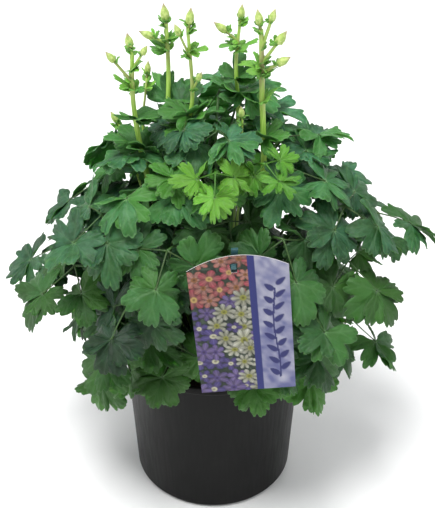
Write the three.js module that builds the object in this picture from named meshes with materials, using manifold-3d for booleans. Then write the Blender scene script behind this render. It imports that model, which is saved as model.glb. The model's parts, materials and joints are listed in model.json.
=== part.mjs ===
// A columbine (Aquilegia) in a nursery pot, in millimetres, +Z up.
// The origin is the middle of the pot's foot, on the surface that it stands on. -Y is the label's side.
// Every leaf is one solid: a petiole from its own hole in the compost, three petiolules, nine lobed leaflets.

import * as THREE from 'three';
import { mergeVertices } from 'three/addons/utils/BufferGeometryUtils.js';
import Module from 'manifold-3d';

const wasm = await Module();
wasm.setup();

// ---------------------------------------------------------------- driving dimensions

const POT_HEIGHT = 165;
const RIM_RADIUS = 87;
const WALL_TOP_RADIUS = 84.5;
const FOOT_RADIUS = 76;
const POT_WALL = 1.6;
const RIM_DEPTH = 8;
const FLOOR_RISE = 4;
const FLOOR_BOSS_RADIUS = 9;
const POT_SIDES = 28;
const DRAIN_HOLES = 6;
const DRAIN_RADIUS = 5;
const COMPOST_TOP = 148;
const SEAT_GAP = 0.3;

const ROOTING_DEPTH = 14;
const BLADE_THICKNESS = 0.9;
const PETIOLULE_THICKNESS = 1.8;
const PETIOLULE_WIDTH = 2.4;
const PETIOLE_BASE_RADIUS = 2.1;
const PETIOLE_TIP_RADIUS = 1.4;
const LEAFLET_LENGTH = 30;
const LEAFLET_WIDTH = 34;
// A group's middle leaflet is the longest, and its inner one, next to the leaf's middle, the shortest.
const MIDDLE_SHARE = 1.05;
const OUTER_SHARE = 0.95;
const INNER_SHARE = 0.86;
const TERMINAL_PETIOLULE = 36;
const LATERAL_PETIOLULE = 27;
const FAN_GAP = 6;
const CLEARANCE = 0.5;

// The leaves, tier by tier from the crown down. root is how far from the axis a tier's petioles leave the
// compost and lean how far they lean outward there. A row of leaves is [azimuth from the front in degrees,
// reach of the petiole's end from the axis, its height, size, slope of the blade below level].
const TIERS = [
  {
    name: 'top', root: 9, lean: 6,
    leaves: [[20, 14, 392, 0.9, 16], [172, 38, 400, 0.95, 10]],
  },
  {
    name: 'crown', root: 16, lean: 12,
    leaves: [
      [-48, 62, 366, 1.0, 26], [-10, 48, 369, 0.85, 34], [72, 66, 361, 1.0, 18], [104, 64, 368, 0.9, 12],
      [160, 62, 376, 1.0, 16], [-148, 60, 390, 0.9, 14], [-96, 58, 363, 0.95, 24],
    ],
  },
  {
    name: 'inner', root: 20, lean: 14,
    leaves: [[-32, 58, 322, 0.9, 40], [14, 56, 328, 0.85, 42]],
  },
  {
    name: 'shoulder', root: 25, lean: 20,
    leaves: [
      [-22, 100, 325, 0.95, 34], [-57, 110, 339, 1.0, 28], [-94, 100, 328, 1.0, 34], [-130, 98, 339, 1.0, 30],
      [-178, 98, 336, 1.0, 30], [138, 102, 334, 1.0, 30], [104, 90, 335, 0.95, 24], [71, 119, 333, 1.0, 27],
      [37, 98, 326, 1.0, 32],
    ],
  },
  {
    name: 'skirt', root: 34, lean: 30,
    leaves: [
      [-34, 126, 278, 0.95, 40], [-68, 130, 276, 1.0, 38], [-98, 144, 247, 1.0, 36],
      [-136, 124, 273, 1.0, 38], [-168, 124, 284, 1.0, 34], [164, 118, 287, 1.0, 34],
      [126, 126, 281, 1.0, 32], [96, 148, 288, 1.0, 26], [64, 130, 288, 1.0, 34], [38, 126, 280, 0.95, 40],
    ],
  },
  {
    name: 'under', root: 43, lean: 36,
    leaves: [
      [-46, 106, 230, 1.0, 50], [-86, 94, 217, 1.0, 42], [-120, 106, 228, 1.0, 50], [-164, 104, 235, 1.0, 54],
      [155, 104, 230, 1.0, 50], [116, 110, 225, 1.0, 46], [78, 126, 203, 1.0, 34], [46, 104, 232, 1.0, 46],
    ],
  },
  {
    name: 'rim', root: 52, lean: 42,
    leaves: [
      [-62, 94, 174, 1.0, 42], [-24, 80, 206, 0.9, 34], [20, 80, 206, 0.9, 34], [56, 88, 178, 0.95, 46],
      [108, 86, 184, 1.0, 44], [152, 92, 187, 1.0, 46], [-146, 90, 184, 1.0, 46], [-104, 92, 180, 1.0, 46],
    ],
  },
];

// Two young leaves at the front of the crown, smaller and paler than the rest.
const YOUNG_LEAVES = [
  { azimuth: 2, reach: 66, height: 384, size: 0.62, slope: 30, root: 12, rootAzimuth: -30, lean: 10 },
  { azimuth: 40, reach: 68, height: 384, size: 0.52, slope: 26, root: 15, rootAzimuth: 50, lean: 12 },
];

// The flowering stems. path runs from the compost to the tip. A bud is [share of the path where its stalk
// leaves, position, size], and a bract is [share of the path, azimuth, length]. Low bracts are as long as
// leaflets.
const FLOWER_STEMS = [
  {
    radius: 2.9, path: [[-16, 4, 148], [-44, -2, 277], [-59, -8, 355], [-66, -13, 422], [-65, -16, 469]],
    buds: [[0.98, [-67, -17, 478], 0.95], [0.84, [-82, -20, 465], 0.85], [0.9, [-55, -20, 471], 0.75]],
    bracts: [[0.56, -75, 32], [0.67, 35, 25], [0.8, -110, 22], [0.9, 60, 18]],
  },
  {
    radius: 1.7, path: [[-8, 15, 148], [-38, 31, 274], [-61, 35, 357], [-57, 38, 414]],
    buds: [[0.98, [-56, 39, 423], 0.8]],
    bracts: [[0.6, -165, 28], [0.94, 90, 14]],
  },
  {
    radius: 2.8, path: [[-2, 20, 148], [-24, 33, 285], [-38, 33, 368], [-38, 34, 428], [-39, 36, 467]],
    buds: [[0.98, [-40, 36, 476], 1.1], [0.88, [-55, 33, 458], 0.95]],
    bracts: [[0.52, -38, 30], [0.6, 120, 30], [0.84, -112, 24], [0.9, 128, 20]],
  },
  {
    radius: 2.4, path: [[4, 8, 148], [-10, 5, 297], [-21, -1, 385], [-17, -3, 418], [-20, -8, 486]],
    buds: [[0.98, [-18, -8, 495], 1.0], [0.9, [-28, -10, 484], 0.8], [0.78, [-11, -9, 441], 0.75]],
    bracts: [[0.54, 30, 30], [0.62, -60, 28], [0.92, 90, 18]],
  },
  {
    radius: 2.3, path: [[10, 18, 148], [19, 33, 284], [22, 35, 383], [20, 38, 430], [23, 40, 466]],
    buds: [[0.98, [24, 40, 475], 0.9], [0.88, [7, 38, 462], 0.95]],
    bracts: [[0.58, -20, 30], [0.66, 100, 28], [0.82, 90, 24], [0.86, -80, 18]],
  },
  {
    radius: 3.3, path: [[18, -6, 148], [40, -4, 274], [44, -5, 336], [41, -9, 428], [39, -12, 486]],
    buds: [
      [0.98, [37, -12, 496], 0.95], [0.92, [48, -13, 498], 0.85], [0.86, [55, -16, 480], 1.05],
      [0.82, [57, -17, 460], 1.0],
    ],
    bracts: [[0.5, 112, 34], [0.62, 60, 26], [0.72, 95, 22], [0.8, 80, 22], [0.84, -80, 24]],
  },
  {
    radius: 1.5, path: [[12, 2, 148], [22, -5, 299], [25, -14, 403]],
    buds: [[0.98, [24, -15, 411], 0.75]],
    bracts: [],
  },
  {
    radius: 1.5, path: [[-22, -4, 148], [-61, 20, 301], [-82, 26, 374]],
    buds: [[0.98, [-86, 27, 381], 0.75]],
    bracts: [],
  },
];

// The label hangs by a slot on the peg of a stake pushed into the compost, and leans on the front leaves.
const LABEL_TOP_WIDTH = 84;
const LABEL_FOOT_WIDTH = 79.5;
const LABEL_SIDE = 111.5;
const LABEL_CROWN = 11.2;
const LABEL_THICKNESS = 0.8;
const LABEL_TOP = [19.4, -108, 332];
const LABEL_LEAN = 15;
const LABEL_SPIN = -5.4;
const SLOT_WIDTH = 7;
const SLOT_HEIGHT = 8;
const SLOT_DROP = 11;
const SLOT_OFFSET = -3;
const STAKE_WIDTH = 7;
const STAKE_THICKNESS = 2;
const STAKE_FOOT = [14, -72];
const STAKE_STANDOFF = 10;
const STAKE_TIP_RISE = 17;

// ---------------------------------------------------------------- small helpers

const UP = new THREE.Vector3(0, 0, 1);
const radians = THREE.MathUtils.degToRad;

function vector(x, y, z) {
  return new THREE.Vector3(x, y, z);
}

// from + a*s + b*t + ..., for pairs of vector and number.
function sum(from, ...pairs) {
  const point = from.clone();
  for (const [direction, amount] of pairs) point.addScaledVector(direction, amount);
  return point;
}

function turned(v, axis, degrees) {
  return v.clone().applyAxisAngle(axis, radians(degrees));
}

// The horizontal direction at an azimuth, measured from the front towards +X.
function outward(azimuth) {
  return vector(Math.sin(radians(azimuth)), -Math.cos(radians(azimuth)), 0);
}

// A seeded draw of numbers from 0 to 1, the same on every machine.
function drawer(seed) {
  let state = seed >>> 0;
  return () => {
    state = (Math.imul(state, 1664525) + 1013904223) >>> 0;
    return state / 4294967296;
  };
}

function spread(draw, amount) {
  return (draw() - 0.5) * 2 * amount;
}

// ---------------------------------------------------------------- solids and meshes

function geometryFrom(points, triangles) {
  return new THREE.BufferGeometry().setFromPoints(points).setIndex(triangles.flat());
}

function solidOf(geometry) {
  for (const name of ['normal', 'uv']) geometry.deleteAttribute(name);
  const merged = mergeVertices(geometry, 1e-4);
  return new wasm.Manifold(
    new wasm.Mesh({
      numProp: 3,
      vertProperties: merged.attributes.position.array,
      triVerts: new Uint32Array(merged.index.array),
    }),
  );
}

function geometryOf(solid) {
  const mesh = solid.getMesh();
  const geometry = new THREE.BufferGeometry();
  geometry.setAttribute('position', new THREE.BufferAttribute(mesh.vertProperties, 3));
  geometry.setIndex(new THREE.BufferAttribute(mesh.triVerts, 1));
  geometry.computeVertexNormals();
  return geometry;
}

// A closed tube through the points of a path, with a radius at each.
function tube(path, radii, sides) {
  const points = [];
  const triangles = [];
  let side = null;
  path.forEach((point, i) => {
    const before = path[Math.max(i - 1, 0)];
    const after = path[Math.min(i + 1, path.length - 1)];
    const along = after.clone().sub(before).normalize();
    const guide = side ?? (Math.abs(along.x) < 0.8 ? vector(1, 0, 0) : vector(0, 1, 0));
    side = sum(guide, [along, -guide.dot(along)]).normalize();
    const other = along.clone().cross(side);
    for (let k = 0; k < sides; k++) {
      const angle = (2 * Math.PI * k) / sides;
      points.push(sum(point, [side, radii[i] * Math.cos(angle)], [other, radii[i] * Math.sin(angle)]));
    }
  });
  for (let i = 0; i + 1 < path.length; i++) {
    for (let k = 0; k < sides; k++) {
      const a = i * sides + k;
      const b = i * sides + ((k + 1) % sides);
      triangles.push([a, b, b + sides], [a, b + sides, a + sides]);
    }
  }
  const last = (path.length - 1) * sides;
  for (let k = 1; k + 1 < sides; k++) {
    triangles.push([0, k + 1, k], [last, last + k, last + k + 1]);
  }
  return solidOf(geometryFrom(points, triangles));
}

// ---------------------------------------------------------------- thin blades

// A sheet is a list of vertices, each with a normal and half a thickness, and the triangles between them.
// A blade is the closed solid that it makes, with both faces split alike and a wall along the outline.
function bladeSolid({ vertices, faces }, outline, extra = 0) {
  const n = vertices.length;
  const top = vertices.map((v) => sum(v.at, [v.normal, v.half + extra]));
  const bottom = vertices.map((v) => sum(v.at, [v.normal, -v.half - extra]));
  const triangles = faces.flatMap(([a, b, c]) => [[a, b, c], [n + a, n + c, n + b]]);
  outline.forEach((a, i) => {
    const b = outline[(i + 1) % outline.length];
    triangles.push([a, n + b, b], [a, n + a, n + b]);
  });
  return solidOf(geometryFrom([...top, ...bottom], triangles));
}

// The outline of a three-lobed leaflet from its right corner to its left one, as shares of length and width.
const LEAFLET_OUTLINE = [[0.66, -0.54], [0.8, -0.2], [1.05, 0], [0.8, 0.2], [0.66, 0.54]];

// How far a leaflet stands off its plane: it arches down to its tip and to both sides.
function leafletRelief(p, q, { length, width }) {
  return -0.14 * p * p * length - 0.22 * q * q * width;
}

function leafletPoint(leaflet, p, q) {
  return sum(
    leaflet.base,
    [leaflet.forward, p * leaflet.length],
    [leaflet.side, q * leaflet.width],
    [leaflet.normal, leafletRelief(p, q, leaflet)],
  );
}

// Adds a leaflet to a sheet, between a vertex on its right and one on its left, and returns its outline.
function addLeaflet(sheet, right, left, leaflet) {
  const outline = LEAFLET_OUTLINE.map(([p, q]) => {
    const at = leafletPoint(leaflet, p, q);
    return sheet.vertices.push({ at, normal: leaflet.normal, half: BLADE_THICKNESS / 2 }) - 1;
  });
  const [a, b, tip, c, d] = outline;
  sheet.faces.push([right, a, b], [right, b, tip], [right, tip, left], [left, tip, c], [left, c, d]);
  return outline;
}

// Adds a petiolule and its three leaflets to a sheet, between two vertices of the hub. Returns its outline.
function addGroup(sheet, hubRight, hubLeft, { hub, forward, side, normal, stalk, leaflets }) {
  const w = PETIOLULE_WIDTH / 2;
  const [a, b, c, d] = [[-w, w], [w, w], [w, -w], [-w, -w]].map(([u, v]) => {
    const at = sum(hub, [forward, stalk + u], [side, v]);
    return sheet.vertices.push({ at, normal, half: PETIOLULE_THICKNESS / 2 }) - 1;
  });
  sheet.faces.push([hubRight, d, a], [hubRight, a, hubLeft], [d, c, b], [d, b, a]);
  const terminal = addLeaflet(sheet, c, b, leaflets[0]);
  const left = addLeaflet(sheet, b, a, leaflets[1]);
  const right = addLeaflet(sheet, d, c, leaflets[2]);
  return [d, ...right, c, ...terminal, b, ...left, a];
}

// ---------------------------------------------------------------- a whole leaf

// The three groups of a leaf leave the hub's front, left and right edges, between these corners of it.
const HUB_EDGES = [[0, 1], [1, 2], [3, 0]];

function hubCorners({ hub, forward, side, normal }) {
  const w = PETIOLULE_WIDTH / 2;
  return [[w, -w], [w, w], [-w, w], [-w, -w]].map(([u, v]) => ({
    at: sum(hub, [forward, u], [side, v]),
    normal,
    half: PETIOLULE_THICKNESS / 2,
  }));
}

// One group alone, as a solid that stands for it while it finds a place clear of its neighbours.
function groupSolid(leaf, index, group, extra) {
  const corners = hubCorners(leaf);
  const sheet = { vertices: HUB_EDGES[index].map((k) => corners[k]), faces: [] };
  return bladeSolid(sheet, [0, ...addGroup(sheet, 0, 1, group), 1], extra);
}

function leafBlade(leaf, groups) {
  const sheet = { vertices: hubCorners(leaf), faces: [[0, 1, 2], [0, 2, 3]] };
  const outlines = HUB_EDGES.map(([a, b], i) => (groups[i] ? addGroup(sheet, a, b, groups[i]) : []));
  const [terminal, left, right] = outlines;
  return bladeSolid(sheet, [0, ...terminal, 1, ...left, 2, 3, ...right]);
}

// The share of the usual length that leaflet k of group i has. k is 0 in the middle, 1 on the left and 2 on
// the right.
function lengthShare(i, k) {
  if (k === 0) return MIDDLE_SHARE;
  return i && k === 3 - i ? INNER_SHARE : OUTER_SHARE;
}

// Half the angle that a leaflet spans beyond its share of the petiolule's end, in degrees.
function halfFan({ length, width, pitch }) {
  const [p, q] = LEAFLET_OUTLINE[4];
  const across = q * width - PETIOLULE_WIDTH / 2;
  return THREE.MathUtils.radToDeg(Math.atan2(across, p * length * Math.cos(radians(pitch))));
}

// The lateral leaflets of a group turn back as far as they must to leave the middle one room.
function leafPlan({ azimuth, reach, height, size, slope, seed }) {
  const draw = drawer(seed);
  const out = outward(azimuth);
  const across = UP.clone().cross(out);
  const tilt = slope + spread(draw, 4);
  const forward = turned(out, across, tilt);
  const normal = turned(turned(UP, across, tilt), forward, spread(draw, 8));
  const hub = sum(vector(0, 0, height), [out, reach]);
  const groups = [0, 80, -80].map((yaw, i) => ({
    yaw: yaw + spread(draw, 5),
    droop: (i ? 14 : 2) + spread(draw, 5),
    twist: spread(draw, 7),
    stalk: (i ? LATERAL_PETIOLULE : TERMINAL_PETIOLULE) * size * (1 + spread(draw, 0.06)),
    leaflets: [0, 89, -89].map((turn, k) => ({
      yaw: turn + spread(draw, 3),
      pitch: (k ? 11 : 7) + spread(draw, 9),
      length: LEAFLET_LENGTH * size * (1 + spread(draw, 0.08)) * lengthShare(i, k),
      width: LEAFLET_WIDTH * size * (1 + spread(draw, 0.06)),
    })),
  }));
  for (const { leaflets: [terminal, ...lateral] } of groups) {
    for (const leaflet of lateral) {
      const side = Math.sign(leaflet.yaw);
      const room = halfFan(terminal) + halfFan(leaflet) + FAN_GAP;
      leaflet.yaw = side * Math.max(side * leaflet.yaw, room + side * terminal.yaw);
    }
  }
  return { out, hub, forward, normal, side: normal.clone().cross(forward), groups, size, slope };
}

// The attitudes that a group may take up to hang clear of its neighbours: [droop, yaw, twist] in degrees.
const ATTITUDES = [
  [0, 0, 0], [9, 0, 0], [-9, 0, 0], [0, 8, 0], [0, -8, 0], [9, 8, 0], [9, -8, 0], [-9, 8, 0], [-9, -8, 0],
  [18, 0, 0], [-18, 0, 0], [0, 0, 14], [0, 0, -14], [18, 10, 10], [18, -10, -10], [-18, 10, 10],
  [-18, -10, -10],
  [27, 0, 0], [-27, 0, 0], [0, 16, 0], [0, -16, 0], [27, 12, 16], [27, -12, -16], [-27, 12, 16],
  [-27, -12, -16],
  [36, 0, 0], [-36, 0, 0], [36, 10, 20], [36, -10, -20], [9, 0, 24], [9, 0, -24], [45, 0, 0], [-9, 20, 20],
  [-9, -20, -20], [18, 22, 0], [18, -22, 0], [0, 26, 0], [0, -26, 0], [-18, 28, 0], [-18, -28, 0], [9, 34, 0],
  [9, -34, 0], [-27, 20, 20], [-27, -20, -20], [45, 18, 20], [45, -18, -20],
];

function groupAt(leaf, index, [droop, yaw, twist], scale) {
  const plan = leaf.groups[index];
  const flat = turned(leaf.forward, leaf.normal, plan.yaw + yaw);
  const axis = leaf.normal.clone().cross(flat);
  const forward = turned(flat, axis, plan.droop + droop);
  const normal = turned(turned(leaf.normal, axis, plan.droop + droop), forward, plan.twist + twist);
  const side = normal.clone().cross(forward);
  const stalk = plan.stalk * scale;
  const w = PETIOLULE_WIDTH / 2;
  const leaflets = plan.leaflets.map((leaflet, k) => {
    const level = turned(forward, normal, leaflet.yaw);
    const hinge = normal.clone().cross(level);
    const along = turned(level, hinge, leaflet.pitch);
    const upright = turned(normal, hinge, leaflet.pitch);
    return {
      base: sum(leaf.hub, [forward, stalk], [level, w]),
      forward: along,
      normal: upright,
      side: upright.clone().cross(along),
      length: leaflet.length * scale,
      width: leaflet.width * scale,
    };
  });
  return { hub: leaf.hub, forward, normal, side, stalk, leaflets };
}

// The petiole's centre line: out of the compost, up and over to the hub.
function petiolePath(leaf, root, rootAzimuth, lean) {
  const from = outward(rootAzimuth);
  const rise = sum(vector(0, 0, 0), [UP, Math.cos(radians(lean))], [from, Math.sin(radians(lean))]);
  const foot = sum(vector(0, 0, COMPOST_TOP), [from, root]);
  const arrival = 50 - 1.1 * leaf.slope;
  const flat = Math.cos(radians(arrival));
  const landing = sum(vector(0, 0, 0), [leaf.out, flat], [UP, Math.sin(radians(arrival))]);
  const reach = foot.distanceTo(leaf.hub);
  const curve = new THREE.CubicBezierCurve3(
    foot,
    sum(foot, [rise, reach * 0.42]),
    sum(leaf.hub, [landing, -reach * 0.32]),
    leaf.hub,
  );
  return [sum(foot, [rise, -ROOTING_DEPTH]), ...curve.getPoints(4)];
}

function petioleRadii(count, size) {
  const girth = 0.6 + 0.4 * size;
  return Array.from({ length: count }, (_, i) =>
    THREE.MathUtils.lerp(PETIOLE_BASE_RADIUS, PETIOLE_TIP_RADIUS, i / (count - 1)) * girth);
}

// ---------------------------------------------------------------- solids kept clear of each other

const placed = [];

function boxesMeet(a, b) {
  return [0, 1, 2].every((k) => a.min[k] < b.max[k] && b.min[k] < a.max[k]);
}

function place(solid, owner) {
  placed.push({ solid, owner, box: solid.boundingBox() });
}

function isClear(solid, owner) {
  const box = solid.boundingBox();
  return placed.every(
    (other) => other.owner === owner || !boxesMeet(box, other.box) || solid.intersect(other.solid).isEmpty(),
  );
}

// How far a petiole's root may move round the crown, in degrees, and outward to rise clear of its neighbours.
const ROOT_TURNS = [0, 7, -7, 14, -14, 21, -21, 28, -28, 36, -36, 45, -45];
const ROOT_SHIFTS = [0, 4, -4, 8, -8];

function rootPetiole(leaf, root, rootAzimuth, lean) {
  for (const shift of ROOT_SHIFTS) {
    for (const turn of ROOT_TURNS) {
      const path = petiolePath(leaf, root + shift, rootAzimuth + turn, lean);
      const radii = petioleRadii(path.length, leaf.size);
      const wide = tube(path, radii.map((r) => r + CLEARANCE), 3);
      if (!isClear(wide, leaf)) continue;
      place(wide, leaf);
      return { path, radii, solid: tube(path, radii, 3) };
    }
  }
  throw new Error('no clear root for a leaf at ' + leaf.hub.toArray().map(Math.round));
}

// Finds a group of a leaf an attitude in which it clears the rest of the plant and the leaf's other groups.
function hangGroup(leaf, index, hung) {
  for (const scale of [1, 0.88, 0.76]) {
    for (const attitude of ATTITUDES) {
      const group = groupAt(leaf, index, attitude, scale);
      const wide = groupSolid(leaf, index, group, CLEARANCE);
      if (!isClear(wide, leaf)) continue;
      const slim = groupSolid(leaf, index, group, 0.1);
      if (hung.some((other) => slim.intersect(other).volume() > 0.01)) continue;
      place(wide, leaf);
      hung.push(slim);
      return group;
    }
  }
  return null;
}

function leafSolid(leaf) {
  const hung = [];
  leaf.hung = leaf.groups.map((_, index) => hangGroup(leaf, index, hung));
  return leafBlade(leaf, leaf.hung).add(leaf.petiole.solid);
}

// ---------------------------------------------------------------- flowering stems

const BUD_PROFILE = [[-8, 1], [-3, 4.6], [3, 4.2], [10.5, 0.5]];

function budSolid(at, along, size) {
  return tube(
    BUD_PROFILE.map(([s]) => sum(at, [along, s * size])),
    BUD_PROFILE.map(([, r]) => r * size),
    5,
  );
}

function bractSolid(at, azimuth, length) {
  const out = outward(azimuth);
  const across = UP.clone().cross(out);
  const forward = turned(out, across, -32);
  const normal = turned(UP, across, -32);
  const side = normal.clone().cross(forward);
  const bract = { base: at, forward, normal, side, length, width: length * 0.7 };
  const corners = [-1, 1].map((v) => ({ at: sum(at, [bract.side, v]), normal, half: BLADE_THICKNESS / 2 }));
  const sheet = { vertices: corners, faces: [] };
  return bladeSolid(sheet, [0, ...addLeaflet(sheet, 0, 1, bract), 1]);
}

function flowerStem({ path, radius, buds, bracts }) {
  const curve = new THREE.CatmullRomCurve3(path.map((p) => vector(...p)));
  const steps = 2 * (path.length - 1);
  const points = curve.getPoints(steps);
  points.unshift(sum(points[0], [curve.getTangent(0), -ROOTING_DEPTH]));
  const radii = points.map((_, i) => radius * (1 - (0.45 * i) / (points.length - 1)));
  const build = (extra) => {
    const parts = [tube(points, radii.map((r) => r + extra), 4)];
    for (const [share, position, size] of buds) {
      const from = curve.getPoint(share);
      const to = vector(...position);
      const along = to.clone().sub(from).normalize();
      const end = sum(to, [along, -5 * size]);
      parts.push(tube([from, end], [radius * 0.55 + extra, radius * 0.45 + extra], 3));
      parts.push(budSolid(to, along, size * (1 + extra * 0.2)));
    }
    for (const [share, azimuth, length] of bracts) {
      parts.push(bractSolid(curve.getPoint(share), azimuth, length * (1 + extra * 0.1)));
    }
    return wasm.Manifold.union(parts);
  };
  return { path: points, radii, solid: build(0), wide: build(CLEARANCE) };
}

// ---------------------------------------------------------------- pot, compost, label and stake

function insideRadius(z) {
  return THREE.MathUtils.mapLinear(z, 7, POT_HEIGHT, FOOT_RADIUS - POT_WALL, WALL_TOP_RADIUS - POT_WALL);
}

function turnedSolid(profile) {
  const points = profile.map(([r, z]) => new THREE.Vector2(r, z));
  return solidOf(new THREE.LatheGeometry(points, POT_SIDES).rotateX(Math.PI / 2));
}

// A tapered wall with a thickened rim. The floor is raised off the ground inside a foot ring, but for a flat
// boss in its middle.
function potSolid() {
  const recess = FOOT_RADIUS - 12;
  const pot = turnedSolid([
    [0, 0], [FLOOR_BOSS_RADIUS, 0], [FLOOR_BOSS_RADIUS + 2, FLOOR_RISE],
    [recess - 3, FLOOR_RISE], [recess, 0], [FOOT_RADIUS - 3, 0], [FOOT_RADIUS, 4],
    [WALL_TOP_RADIUS, POT_HEIGHT - RIM_DEPTH], [RIM_RADIUS, POT_HEIGHT - RIM_DEPTH + 1],
    [RIM_RADIUS, POT_HEIGHT], [insideRadius(POT_HEIGHT), POT_HEIGHT],
    [insideRadius(7), 7], [FOOT_RADIUS - 6, FLOOR_RISE + POT_WALL], [0, FLOOR_RISE + POT_WALL],
  ]);
  const drains = [];
  for (let i = 0; i < DRAIN_HOLES; i++) {
    const hole = new THREE.CylinderGeometry(DRAIN_RADIUS, DRAIN_RADIUS, 20, 8).rotateX(Math.PI / 2);
    const out = outward((360 * (i + 0.5)) / DRAIN_HOLES);
    hole.translate(out.x * recess * 0.7, out.y * recess * 0.7, FLOOR_RISE);
    drains.push(solidOf(hole));
  }
  return pot.subtract(wasm.Manifold.union(drains));
}

function compostSolid(roots) {
  const floor = FLOOR_RISE + POT_WALL + SEAT_GAP;
  const shoulder = COMPOST_TOP - 2;
  const compost = turnedSolid([
    [0, floor], [FOOT_RADIUS - 9, floor], [insideRadius(12) - SEAT_GAP, 12],
    [insideRadius(shoulder) - SEAT_GAP, shoulder], [60, COMPOST_TOP], [0, COMPOST_TOP],
  ]);
  return compost.subtract(wasm.Manifold.union(roots));
}

function labelFrame() {
  const right = turned(vector(1, 0, 0), vector(0, 1, 0), LABEL_SPIN);
  const across = turned(vector(0, 0, -1), vector(0, 1, 0), LABEL_SPIN);
  const down = turned(across, right, -LABEL_LEAN);
  const face = down.clone().cross(right);
  return { top: vector(...LABEL_TOP), right, down, face };
}

function labelShape(grow = 0) {
  const shape = new THREE.Shape();
  const half = LABEL_TOP_WIDTH / 2;
  shape.moveTo(-LABEL_FOOT_WIDTH / 2, -LABEL_CROWN - LABEL_SIDE);
  shape.lineTo(LABEL_FOOT_WIDTH / 2, -LABEL_CROWN - LABEL_SIDE);
  shape.lineTo(half, -LABEL_CROWN);
  for (let i = 1; i < 8; i++) {
    const x = half * (1 - i / 4);
    shape.lineTo(x, -LABEL_CROWN * (x / half) ** 2);
  }
  shape.lineTo(-half, -LABEL_CROWN);
  if (!grow) {
    const slot = new THREE.Path();
    slot.moveTo(SLOT_OFFSET - SLOT_WIDTH / 2, -SLOT_DROP + SLOT_HEIGHT / 2);
    slot.lineTo(SLOT_OFFSET + SLOT_WIDTH / 2, -SLOT_DROP + SLOT_HEIGHT / 2);
    slot.lineTo(SLOT_OFFSET + SLOT_WIDTH / 2 - 1, -SLOT_DROP - SLOT_HEIGHT / 2);
    slot.lineTo(SLOT_OFFSET - SLOT_WIDTH / 2 + 1, -SLOT_DROP - SLOT_HEIGHT / 2);
    shape.holes.push(slot);
  }
  return shape;
}

// Carries a solid from the label's plane (x right, y up, z out of the face) to its place.
function onLabel(geometry) {
  const { top, right, down, face } = labelFrame();
  const matrix = new THREE.Matrix4().makeBasis(right, down.clone().negate(), face).setPosition(top);
  return geometry.applyMatrix4(matrix);
}

function labelSolid(grow = 0) {
  const depth = LABEL_THICKNESS + 2 * grow;
  const card = new THREE.ExtrudeGeometry(labelShape(grow), { depth, bevelEnabled: false });
  return solidOf(onLabel(card.translate(0, 0, -depth / 2)));
}

// A flat stake behind the label, with a peg that comes forward through the label's slot.
function stakeSolid(grow = 0) {
  const { top, right, down, face } = labelFrame();
  const atSlot = sum(top, [right, SLOT_OFFSET], [down, SLOT_DROP], [face, -STAKE_STANDOFF]);
  const foot = vector(...STAKE_FOOT, COMPOST_TOP - 2 * ROOTING_DEPTH);
  const along = atSlot.clone().sub(foot);
  const tip = sum(atSlot, [along.clone().normalize(), STAKE_TIP_RISE]);
  const wide = right.clone();
  const thick = along.clone().normalize().cross(wide).normalize();
  const halfWidth = STAKE_WIDTH / 2 + grow;
  const halfThickness = STAKE_THICKNESS / 2 + grow;
  const ring = (at, share) => [
    sum(at, [wide, -halfWidth * share], [thick, -halfThickness]),
    sum(at, [wide, halfWidth * share], [thick, -halfThickness]),
    sum(at, [wide, halfWidth * share], [thick, halfThickness]),
    sum(at, [wide, -halfWidth * share], [thick, halfThickness]),
  ];
  const shoulder = sum(foot, [along, 0.12]);
  const points = [...ring(foot, 0.3), ...ring(shoulder, 1), ...ring(tip, 0.8)];
  const triangles = [[0, 2, 1], [0, 3, 2], [8, 9, 10], [8, 10, 11]];
  for (const i of [0, 4]) {
    for (let k = 0; k < 4; k++) {
      const a = i + k;
      const b = i + ((k + 1) % 4);
      triangles.push([a, b, b + 4], [a, b + 4, a + 4]);
    }
  }
  const bar = solidOf(geometryFrom(points, triangles));
  const pegWidth = SLOT_WIDTH - 2.6;
  const pegLength = STAKE_STANDOFF + LABEL_THICKNESS + 2;
  const peg = new THREE.BoxGeometry(pegWidth, 4, pegLength);
  peg.translate(SLOT_OFFSET, -SLOT_DROP + SLOT_HEIGHT / 2 - 2 - SEAT_GAP, pegLength / 2 - STAKE_STANDOFF);
  return bar.add(solidOf(onLabel(peg)));
}

// ---------------------------------------------------------------- assembly

const POT_COLOUR = 0x2a2a2b;
const MATERIALS = {
  pot: new THREE.MeshStandardMaterial({ color: POT_COLOUR, roughness: 0.55, metalness: 0 }),
  compost: new THREE.MeshStandardMaterial({ color: 0x2b1f17, roughness: 1, metalness: 0 }),
  leaf: new THREE.MeshStandardMaterial({ color: 0x3f7a4a, roughness: 0.6, metalness: 0 }),
  young: new THREE.MeshStandardMaterial({ color: 0x7db83a, roughness: 0.55, metalness: 0 }),
  stem: new THREE.MeshStandardMaterial({ color: 0x8fb84e, roughness: 0.55, metalness: 0 }),
  label: new THREE.MeshStandardMaterial({ color: 0xb9b4d6, roughness: 0.4, metalness: 0 }),
  stake: new THREE.MeshStandardMaterial({ color: 0x3f8f96, roughness: 0.3, metalness: 0 }),
};

const plant = new THREE.Group();

function addNode(name, solid, material) {
  const mesh = new THREE.Mesh(geometryOf(solid), material);
  mesh.name = name;
  plant.add(mesh);
}

const rootHoles = [];

function rootHole({ path, radii }, sides) {
  const above = path[1].clone().sub(path[0]).multiplyScalar(1.6).add(path[0]);
  const below = path[0].clone().sub(path[1]).setLength(SEAT_GAP).add(path[0]);
  rootHoles.push(tube([below, above], [radii[0] + 2 * SEAT_GAP, radii[1] + 2 * SEAT_GAP], sides));
}

const pot = potSolid();
place(pot, 'pot');
place(labelSolid(CLEARANCE + 0.5), 'label');
place(stakeSolid(CLEARANCE), 'label');

const stems = FLOWER_STEMS.map((row) => {
  const stem = flowerStem(row);
  place(stem.wide, stem);
  rootHole(stem, 4);
  return stem;
});

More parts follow.
